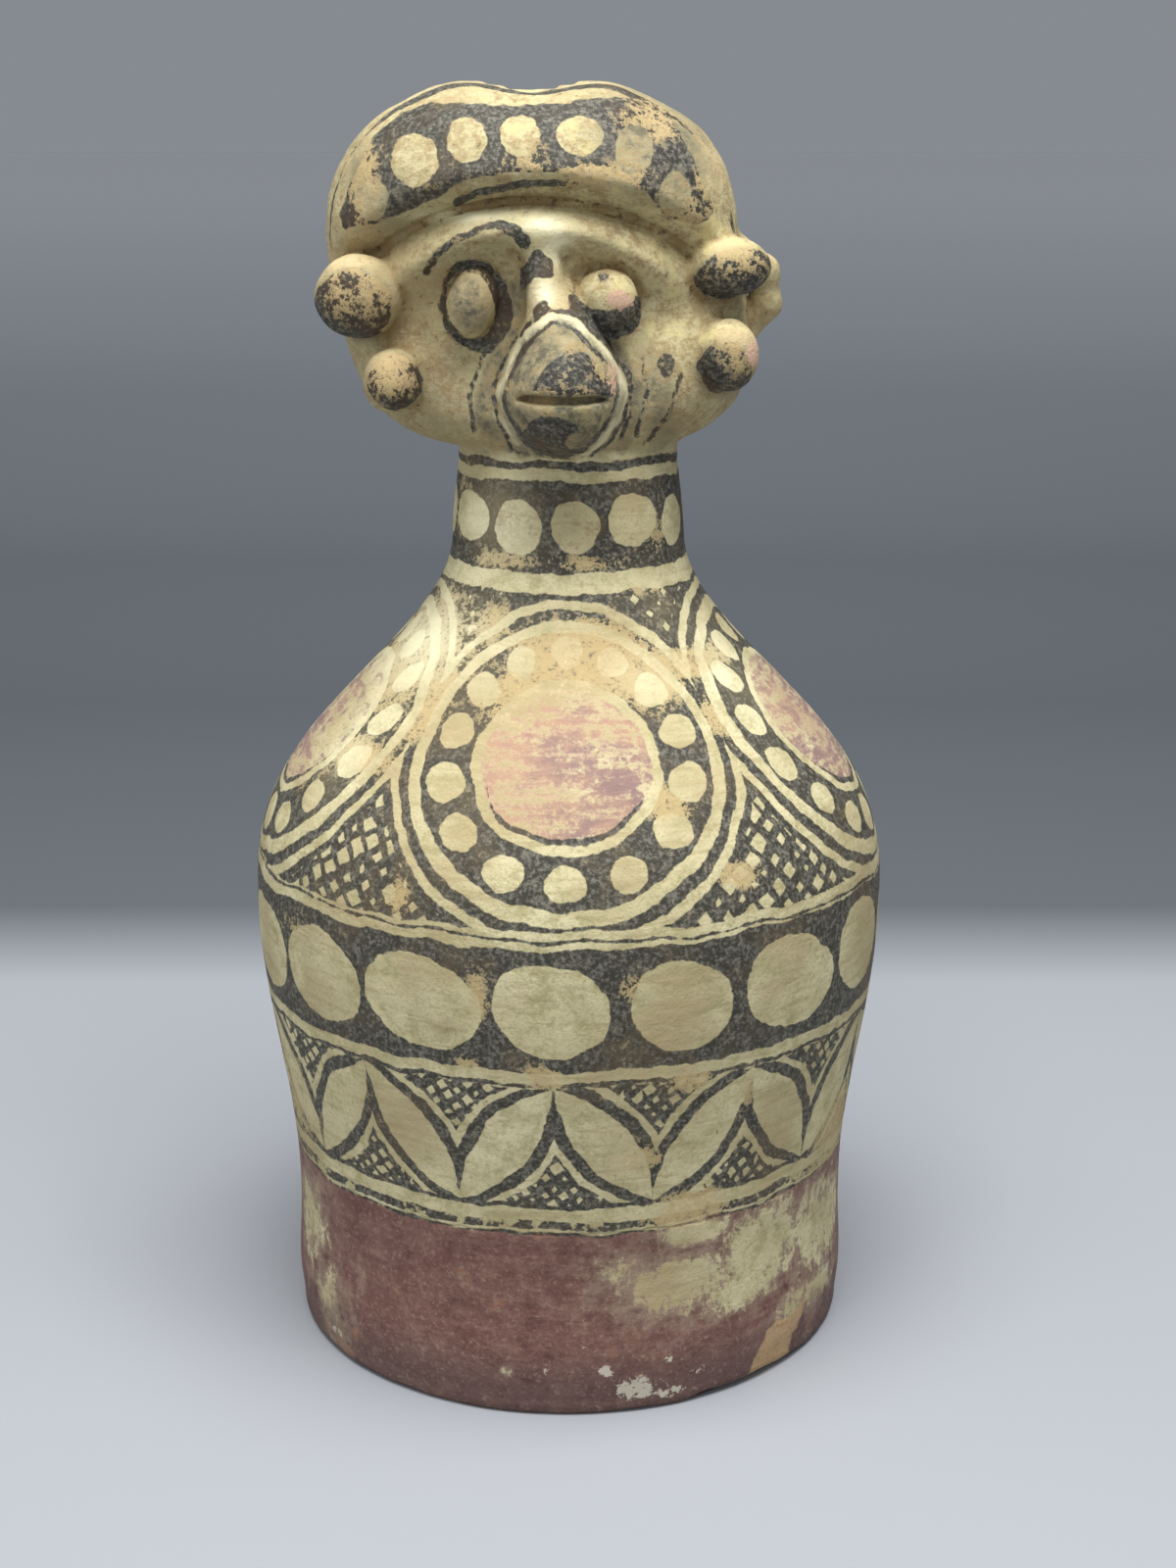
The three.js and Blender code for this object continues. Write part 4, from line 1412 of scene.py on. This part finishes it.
def shoulder_medallions():
    """How far a point is from a disc's middle, how far above it, and how far from a dot."""
    wide_off = abs(turn)
    side = wide_off.math("GREATER_THAN", SIDE_TURN / 2)
    rear = wide_off.math("GREATER_THAN", (SIDE_TURN + math.pi) / 2)
    off = wide_off - side * SIDE_TURN - rear * (math.pi - SIDE_TURN)
    along = off * (radius * MEDALLION_RADIUS_THERE).math("SQRT")
    rise = run - MEDALLION_RUN
    reach = (along * along + rise * rise).math("SQRT")
    spoke, number = cells(along.math("ARCTAN2", -rise), DOT_COUNT, 0)
    throw = dice(number + side * 3.1 + rear * 5.3, 2.6)
    dot_off = spoke * (2 * math.pi * DOT_RING / DOT_COUNT) + throw[0] * 1.2
    dot_away = (dot_off * dot_off + (reach - DOT_RING - throw[1]) ** 2.0).math("SQRT")
    return reach, rise, dot_away - (throw[2] + DOT_RADIUS)


reach, rise, dot = shoulder_medallions()
gap_squares = most(squares, SECOND_RING[1] + 2.0 - reach)
thin_inner_ring = ring(reach, DISC_EDGE - 1.1, INNER_RING[0]) + (rise + 15.0).held(0.0, 9.0) * 0.08
shoulder = least(
    most(INNER_RING[1] - reach, reach - FIRST_RING[0], -dot),
    most(thin_inner_ring, rise + 6.0),
    ring(reach, FIRST_RING[1], SECOND_RING[0]),
    most(SECOND_RING[1] - reach, -gap_squares),
)
print("shader nodes with the medallions:", len(paint_tree.nodes))


# %% [markdown]
# ### Pointed leaves
# Below the belt a zigzag of slanting leaves goes round, tip to tip. Folding each cell down its
# middle makes a leaf and its mirrored neighbour from one slanting line. The leaf stays cream,
# its outline is black, and the corners above and below are hatched.

# %% Draw the leaf band
LEAF_COUNT, LEAF_FIRST_DEG, LEAF_PITCH, LEAF_TOP, LEAF_FOOT = 10, -2.0, 43.3, 79.2, 51.0
LEAF_HALF, LEAF_INK, LEAF_SLIP = 5.7, 2.8, 1.6


def leaf_band():
    off, _ = cells(turn, LEAF_COUNT, LEAF_FIRST_DEG)
    sideways = abs(off) * LEAF_PITCH
    down = LEAF_TOP - height
    slope = math.atan2(LEAF_TOP - LEAF_FOOT, LEAF_PITCH / 2)
    length = math.hypot(LEAF_TOP - LEAF_FOOT, LEAF_PITCH / 2)
    along = sideways * math.cos(slope) + down * math.sin(slope)
    away = abs(sideways * math.sin(slope) - down * math.cos(slope))
    belly = (along / (length / 2) - 1.0) ** 2.0
    edge = away - (LEAF_HALF - belly * LEAF_HALF)
    hatch = most(LEAF_INK + LEAF_SLIP - edge, -squares)
    inked = least(ring(edge, 0.0, LEAF_INK), hatch)
    return most(inked, ring(height, LEAF_FOOT - 0.6, LEAF_TOP + 0.2))


leaves = leaf_band()
print("shader nodes with the leaves:", len(paint_tree.nodes))


# %% [markdown]
# ## The whole scheme of the black paint
# From the foot up: rings under the leaves, the leaf band, the belt of ovals, the medallions
# on the shoulder, the ovals of the neck, and the head's own drawing. Where two bands meet a
# cream line stays open between them. Plum covers the foot and the discs.

# %% Lay out the black and the plum
NECK_BAND, SHOULDER_BAND, BELT_BAND = (179.2, 198.0), (113.8, 174.8), (83.0, 110.2)
LEVEL_LINES = ((79.4, 80.4), (49.8, 51.0), (200.6, 202.4), (43.2, 43.8))
WAVY_LINE, BROKEN_LINE, FOOT_PLUM_TOP = (111.6, 112.2), (44.5, 46.5), 43.5

thin_place = of(grain(5.5, 4.0, shift=2, rough=0.65))
black = least(
    most(ring(height, *NECK_BAND), -neck_ovals),
    most(shoulder, ring(height, *SHOULDER_BAND)),
    most(ring(height, *BELT_BAND), -belt_ovals),
    leaves,
    *(ring(height, *line) for line in LEVEL_LINES),
    ring(height + turn.math("SINE") * 1.2, *WAVY_LINE),
    most(ring(height, *BROKEN_LINE), 2.7 - thin_place * 6.0),
    carried("ink"),
)
black = black + rough_edge
disc = most(reach - DISC_EDGE, ring(height, *SHOULDER_BAND)) + rough_edge
plum = height - FOOT_PLUM_TOP + rough_edge
print("shader nodes with all the painting:", len(paint_tree.nodes))


# %% [markdown]
# ## Wear, then colour
# The slip is cream and chalky, mottled with the tan of the soil it lay in. Black paint is
# thin: it goes grey where it is rubbed, and flakes off in specks where the skin is worn.
# Each layer is mixed over the one before by how much of it is left. Colours are written as
# they look on screen, and turned into light.

# %% Mix one layer over another
def as_seen(red, green, blue):
    """A colour as it looks on screen, from 0 to 255, turned into the light it sends back."""
    shares = [value / 255 for value in (red, green, blue)]
    return [s / 12.92 if s <= 0.04045 else ((s + 0.055) / 1.055) ** 2.4 for s in shares] + [1.0]


def lay(under, over, amount):
    node = paint_tree.nodes.new("ShaderNodeMix")
    node.data_type = "RGBA"
    for slot, value in ((node.inputs[6], under), (node.inputs[7], over), (node.inputs[0], amount)):
        if isinstance(value, Wire):
            paint_tree.links.new(value.socket, slot)
        elif isinstance(value, bpy.types.NodeSocket):
            paint_tree.links.new(value, slot)
        else:
            slot.default_value = value
    return node.outputs[2]


def build_up(under, layers):
    """Lays tints over each other in order, each by its own share."""
    for tint, share in layers.values():
        under = lay(under, as_seen(*tint), share)
    print("laid on:", ", ".join(layers))
    return under


print("chalky cream sends back:", [round(value, 2) for value in as_seen(217, 208, 168)])


# %% [markdown]
# ### Grains
# Old pottery isn't even anywhere. There are clouds a few centimetres wide, mottles of half a
# centimetre, specks, sand-fine grain, and long streaks from a brush drawn round the turning
# pot. One noise for each size is enough, because every layer adds them in shares of its own.

# %% Name the grains and read the notes
soft = of(grain(26, 2.0, shift=9))
mottle = thin_place
fine = of(grain(0.9, 3.0, shift=7, rough=0.7))
speck = of(grain(1.9, 4.0, shift=13, rough=0.75))
brush = of(grain(1.4, 2.0, stretch=(9, 9, 1), shift=17))
streak = of(grain(2.2, 3.0, stretch=(1, 1, 3.5), shift=23))
crease, worn, rubbed, bleached_and_highlit, veil, stain_and_shade, limed, pink = (carried(name) for name in (
    "crease", "worn", "rubbed", "bleached_and_highlit", "veil", "stain_and_shade", "limed", "pink"))
on_head = up.step(203.0, 206.0)
print("shader nodes with the grains:", len(paint_tree.nodes))


# %% [markdown]
# ### What is left of each coat
# Paint doesn't fade evenly. It lets go in flecks where it is thin, and the flecks run together
# where hands, sand and damp have worked. So grains and wear are added up, and a steep step
# turns the sum into bare or not bare. The black comes off in flecks, the plum of the discs is
# scrubbed off along the brush's streaks, and that of the foot goes to powder.

# %% Wear the coats away
edge_wear = (crease * -1.0).step(0.06, 0.35) * on_head
flaking = speck * 0.8 + fine * 0.45 + mottle * 0.45 + soft * 0.2 + worn * 0.6 + edge_wear * 0.15
bared = (flaking - 1.12).step(-0.04, 0.06)
black_left = black.step(0.16, -0.16) * (1.0 - bared * 0.93)
black_lost = black.step(0.16, -0.16) * bared
scrubbing = speck * 0.9 + fine * 0.5 + mottle * 0.8 + brush * 0.5 + worn * 0.42
disc_left = disc.step(0.25, -0.25) * (1.0 - (scrubbing - 1.43).step(-0.12, 0.1) * 0.88)
powdering = mottle * 0.4 + streak * 0.5 + speck * 0.7 + fine * 0.3 + rubbed * 0.75
plum_left = plum.step(0.3, -0.3) * (1.0 - (powdering - 1.29).step(-0.06, 0.1) * 0.9)
hazing = mottle * 0.8 + soft * 0.35 + brush * 0.2 + speck * 0.4 + rubbed * 0.85
haze = (hazing - 1.02).step(-0.12, 0.3)
print("shader nodes with the wear:", len(paint_tree.nodes))


# %% [markdown]
# ### The cream slip
# Slip is liquid clay that the whole vessel was dipped in. Where it is thick it is chalky cream,
# where it is rubbed the tan body shows through, soil has gone into its pores, and the head is
# made darker in its creases. Yellow patches on the head are a painted highlight, the pale ridges
# of the head are partly one, and the stains are partly painted shade. The layers of real marks
# are in the order in which all this happened to it.

# %% Tint the slip
sand = worn.held() * (1.0 - on_head * 0.5)
pores = (speck * 0.6 + fine * 0.6 + on_head * mottle * 0.25).step(0.64, 0.84)
soil = (fine * 0.6 + mottle * 0.5 + speck * 0.4).step(0.55, 0.95)
# Makes the head darker in its creases.
crease_darkening = crease.held(0.0, 0.4) * on_head * 0.25
grime = (speck + fine * 0.2 + on_head * 0.05 + crease_darkening).step(0.78, 0.86)
thinned = (mottle + speck * 0.7 + fine * 0.3 - 1.0).step(0.24, -0.22)
# Painted highlight: yellow patches scattered over the head stand for the yellow of its lit parts.
yellow_highlight = (mottle * 0.5 + soft * 0.6).step(0.5, 0.38)
clouds = (soft * 0.6 + fine * 0.4 + mottle * 0.4 - 0.66).step(0.0, 0.16)
rubbed_thin = (worn * 0.8 + mottle * 0.7 + fine * 0.3 - 0.7).step(0.1, 0.5)
slip = lay(as_seen(170, 160, 117), as_seen(217, 208, 168),
           (mottle * 0.5 + fine * 0.35 + speck * 0.15).step(0.38, 0.62))
slip = build_up(slip, {
    "tan pores": ((146, 126, 86), pores * (on_head * 0.2 + 0.6)),
    "brush streaks": ((160, 144, 104), (brush * 0.7 + soft * 0.4).step(0.55, 0.68) * 0.5),
    "soiled head": ((150, 130, 90), on_head * (mottle * 0.7 + speck * 0.5).step(0.56, 0.74) * 0.75),
    "painted yellow highlight on the head": ((226, 208, 146), on_head * yellow_highlight * 0.5),
    "tan clouds": ((170, 152, 112), clouds * 0.75),
    "rubbed thin": ((192, 173, 131), rubbed_thin * 0.85),
    "dark sand": ((158, 136, 92), sand * (fine * 0.6 + speck * 0.6).step(0.58, 0.78) * 0.8),
    "pale sand": ((234, 219, 168), sand * (fine * 0.7 + mottle * 0.5).step(0.62, 0.8) * 0.7),
    # Lightens bleached patches on the body and the head's ridges, which are partly a painted highlight.
    "bleached_and_highlit": ((236, 229, 190), bleached_and_highlit * (mottle + 0.4).held()),
    "darker in creases": ((146, 124, 84), crease.step(0.03, 0.22) * on_head * mottle.step(0.25, 0.6)),
    # Darkens the slip with real stains, and with painted shade under the chin, under the band and brows,
    # at the ears and on the left cheek.
    "stains and shade": ((120, 100, 68), stain_and_shade * soil * 0.85),
    "grime": ((74, 64, 48), grime * 0.7),
    "thinned black": ((84, 80, 68), veil * thinned * 0.95),
})


# %% [markdown]
# ### Plum and black
# The plum is iron-rich clay, greyer and darker towards the rim and orange in a few places. It
# is chalky where it was rubbed. The black is warm rather than neutral, and greyer where thin.

# %% Tint the plum and the black
red_disc = lay(as_seen(140, 114, 108), as_seen(176, 142, 118),
               (mottle * 0.4 + soft * 0.6).step(0.42, 0.6))
red_disc = build_up(red_disc, {
    "chalk in the disc": ((196, 174, 140), (fine * 0.5 + brush * 0.6).step(0.5, 0.7) * 0.75),
})
plum_tone = lay(as_seen(106, 71, 63), as_seen(136, 102, 92),
                (mottle * 0.4 + fine * 0.35 + brush * 0.25).step(0.35, 0.68))
plum_tone = build_up(plum_tone, {
    # Greyer and darker towards the bottom of the foot.
    "grey at the rim": ((94, 78, 75), up.step(18.0, 4.0) * 0.55),
    "burnt orange": ((146, 86, 56), (soft * 0.5 + mottle * 0.7 - 0.1).step(0.6, 0.68) * 0.5),
    "dark mottles": ((74, 52, 48), (speck * 0.7 + mottle * 0.5).step(0.56, 0.42) * 0.5),
    "pale grains": ((156, 134, 116), (fine * 0.8 + speck * 0.5).step(0.68, 0.86) * 0.6),
    "chalky haze": ((160, 144, 122), haze * 0.6),
})
grey_band_end = up.step(244.0, 252.0) * (speck * 0.8 + mottle * 0.6 + brush * 0.3).step(0.78, 1.0)
black_tone = lay(as_seen(46, 44, 40), as_seen(126, 123, 112),
                 (fine * 0.8 + speck * 0.5).step(0.58, 0.82) * 0.8)
black_tone = build_up(black_tone, {
    "brown clouds": ((94, 82, 60), (soft * 0.6 + mottle * 0.5).step(0.52, 0.68) * 0.55),
    "bleached black": ((134, 122, 92), bleached_and_highlit * (1.0 - on_head) * 0.75),
    "brown on the head": ((58, 44, 36), on_head * soft.step(0.5, 0.6) * 0.8),
    "grey end of the band": ((130, 124, 106), veil * grey_band_end * 0.7),
})


# %% [markdown]
# ### All coats on the clay
# Where black has come off, the slip under it is tan and keeps a ghost of the pattern. Over
# the coats come what happened last: chips that show pink clay, white lime from the ground
# on the foot, and one long break at the foot's right that shows the bare tan body. Inside,
# the vessel was never slipped.

# %% Lay the coats on the clay
torn_line = abs((turn - 0.8) * 64.0 - up * 0.5 + 2.0) - 6.5
torn = most(torn_line, up - 13.0) + waver[0] * 1.6 + rough_edge * 2.0
liming = speck * 0.9 + fine * 0.2 + mottle * 0.5 + limed * 0.6
last_flecks = black_lost * (speck * 0.7 + fine * 0.6).step(0.66, 0.84)
sandy = (speck * 0.6 + fine * 0.6).step(0.6, 0.76)
chipped = (pink + speck * 5.0 + mottle * 3.0 - 4.0).step(0.2, -0.2)
coat = build_up(slip, {
    "tan where black was": ((186, 162, 114), black_lost * (0.75 - bleached_and_highlit * 0.6)),
    "last of the black": ((104, 98, 82), last_flecks * 0.85),
})
coat = lay(coat, red_disc, disc_left * (1.0 - bleached_and_highlit * 0.5))
coat = lay(coat, plum_tone, plum_left)
coat = lay(coat, black_tone, black_left * 0.96)
coat = build_up(coat, {
    "pink chips": ((198, 162, 138), chipped * 0.9),
    "lime": ((196, 188, 168), (liming - 1.24).step(-0.02, 0.04) * plum.step(2.0, -2.0)),
    "bare body": ((186, 156, 116), torn.step(0.6, -0.6) * (mottle * 0.6 + fine * 0.6 + 0.3).held()),
    "sand in it": ((150, 118, 80), torn.step(0.0, -1.0) * sandy * 0.8),
    "inside": ((150, 116, 86), most(radius - 58.0, up - 60.0).step(0.5, -0.5)),
})
sheen = black_left * -0.14 + plum_left * -0.1 + fine * 0.12 + 0.74
paint_tree.links.new(coat, surface.inputs["Base Color"])
paint_tree.links.new(sheen.socket, surface.inputs["Roughness"])
surface.inputs["Specular IOR Level"].default_value = 0.3
print("shader nodes with all the coats:", len(paint_tree.nodes))


# %% [markdown]
# ## Touch
# Up close the slip is faintly grainy, and a line was cut into it above the plum while the
# vessel turned. This is far finer than the mesh, so a Bump node reads its height in mm and
# tilts the light instead of moving the skin.

# %% Raise the grain
bump = paint_tree.nodes.new("ShaderNodeBump")
bump.inputs["Distance"].default_value = MM
bump.inputs["Strength"].default_value = 1.0
line_cut = ring(up + mottle * 2.0, 44.2, 44.8).step(0.3, -0.3) * -0.25
relief = fine * 0.14 + speck * 0.28 + mottle * 0.34 + line_cut
paint_tree.links.new(relief.socket, bump.inputs["Height"])
paint_tree.links.new(bump.outputs[0], surface.inputs["Normal"])
print("shader nodes:", len(paint_tree.nodes))


# %% [markdown]
# ## Floor
# The vessel stands on a pale sheet. Behind it the sheet is painted dark grey, a painted shade
# where less light reaches, and further back it is painted lighter again, a painted light that
# makes up for the lamps falling off with distance. A wall would darken the back too, but a wall
# would hide the vessel from behind. So the floor simply goes on, and its colour fades with how
# far back it is. Far off it is as light as the room on every side.

# %% Mix the paper's colour
# Painted shade: the dark grey tones behind the vessel. Painted light: the tones that turn pale far off.
FLOOR_SHADE_AND_LIGHT_TONES = (
    (0.0, (0.36, 0.375, 0.40)), (0.172, (0.36, 0.375, 0.40)), (0.222, (0.125, 0.137, 0.15)),
    (0.375, (0.13, 0.145, 0.158)), (0.5, (0.20, 0.22, 0.238)), (0.667, (0.46, 0.49, 0.52)),
    (0.75, (0.68, 0.71, 0.74)), (0.93, (0.99, 0.99, 0.99)),
)
CLEAR_FROM_M, CLEAR_TO_M = 1.5, 12.0


def make_paper():
    paper = bpy.data.materials.new("paper")
    paper.use_nodes = True
    tree = paper.node_tree
    place = tree.nodes.new("ShaderNodeTexCoord")
    split = tree.nodes.new("ShaderNodeSeparateXYZ")
    tree.links.new(place.outputs["Object"], split.inputs[0])
    right, deep = Wire(tree, split.outputs["X"]), Wire(tree, split.outputs["Y"])
    behind = deep.math("MAXIMUM", 0.0)
    # Painted light: the floor turns pale far off, against the lamps' falloff.
    clear = (right * right + deep * deep).math("SQRT").step(CLEAR_FROM_M, CLEAR_TO_M)
    fade = tree.nodes.new("ShaderNodeValToRGB")
    ramp = fade.color_ramp.elements
    for _ in FLOOR_SHADE_AND_LIGHT_TONES[2:]:
        ramp.new(0.5)
    for element, (position, colour) in zip(ramp, FLOOR_SHADE_AND_LIGHT_TONES):
        element.position = position
        element.color = (*colour, 1)
    tree.links.new((behind / (behind + 1.0)).socket, fade.inputs[0])
    mix = tree.nodes.new("ShaderNodeMix")
    mix.data_type = "RGBA"
    tree.links.new(clear.socket, mix.inputs[0])
    tree.links.new(fade.outputs[0], mix.inputs[6])
    mix.inputs[7].default_value = (0.99, 0.99, 0.99, 1)
    shader = tree.nodes["Principled BSDF"]
    tree.links.new(mix.outputs[2], shader.inputs["Base Color"])
    shader.inputs["Roughness"].default_value = 0.8
    shader.inputs["Specular IOR Level"].default_value = 0.1
    return paper


paper = make_paper()
print("tones along the floor:", len(FLOOR_SHADE_AND_LIGHT_TONES))


# %% [markdown]
# The sheet itself is one large square. It belongs to the picture and not to the vessel.

# %% Lay the floor
FLOOR_HALF_M = 30.0


def make_floor():
    mesh = bpy.data.meshes.new("floor")
    turns = ((-1, -1), (1, -1), (1, 1), (-1, 1))
    corners = [(x * FLOOR_HALF_M, y * FLOOR_HALF_M, 0) for x, y in turns]
    mesh.from_pydata(corners, [], [(0, 1, 2, 3)])
    mesh.materials.append(paper)
    floor = bpy.data.objects.new("floor", mesh)
    scene.collection.objects.link(floor)
    return floor


print("floor, m:", [round(v, 1) for v in make_floor().dimensions])


# %% [markdown]
# ## Light
# One broad light hangs high above and a little in front, so that the crown and shoulders
# are brightest and the neck lies in the head's soft shadow. Two weaker ones, far in front and
# at the left, and the pale room fill in the rest.

# %% Hang the lights
MIDDLE_OF_VESSEL_M = (0, 0, 0.15)


def make_light(name, place, size, power):
    lamp = bpy.data.lights.new(name, "AREA")
    lamp.shape = "RECTANGLE"
    lamp.size, lamp.size_y = size
    lamp.energy = power
    thing = bpy.data.objects.new(name, lamp)
    thing.location = place
    right, back, up = np.subtract(MIDDLE_OF_VESSEL_M, place)
    thing.rotation_euler = (math.atan2(math.hypot(right, back), -up), 0, math.atan2(-right, back))
    scene.collection.objects.link(thing)


make_light("ceiling", (0.05, -0.26, 1.08), (0.8, 0.6), 18)
make_light("room", (-0.2, -1.8, 0.9), (2.2, 1.2), 8)
make_light("left wall", (-1.2, -0.2, 0.6), (1.0, 1.0), 2.5)
scene.world = bpy.data.worlds.new("room")
scene.world.use_nodes = True
room = scene.world.node_tree.nodes["Background"]
room.inputs["Color"].default_value = (0.86, 0.92, 1.0, 1)
room.inputs["Strength"].default_value = 0.28
scene.view_settings.view_transform = "Standard"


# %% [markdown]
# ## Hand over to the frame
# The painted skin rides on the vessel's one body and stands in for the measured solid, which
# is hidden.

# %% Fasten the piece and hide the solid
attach(vessel, "root")
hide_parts("rhyton")
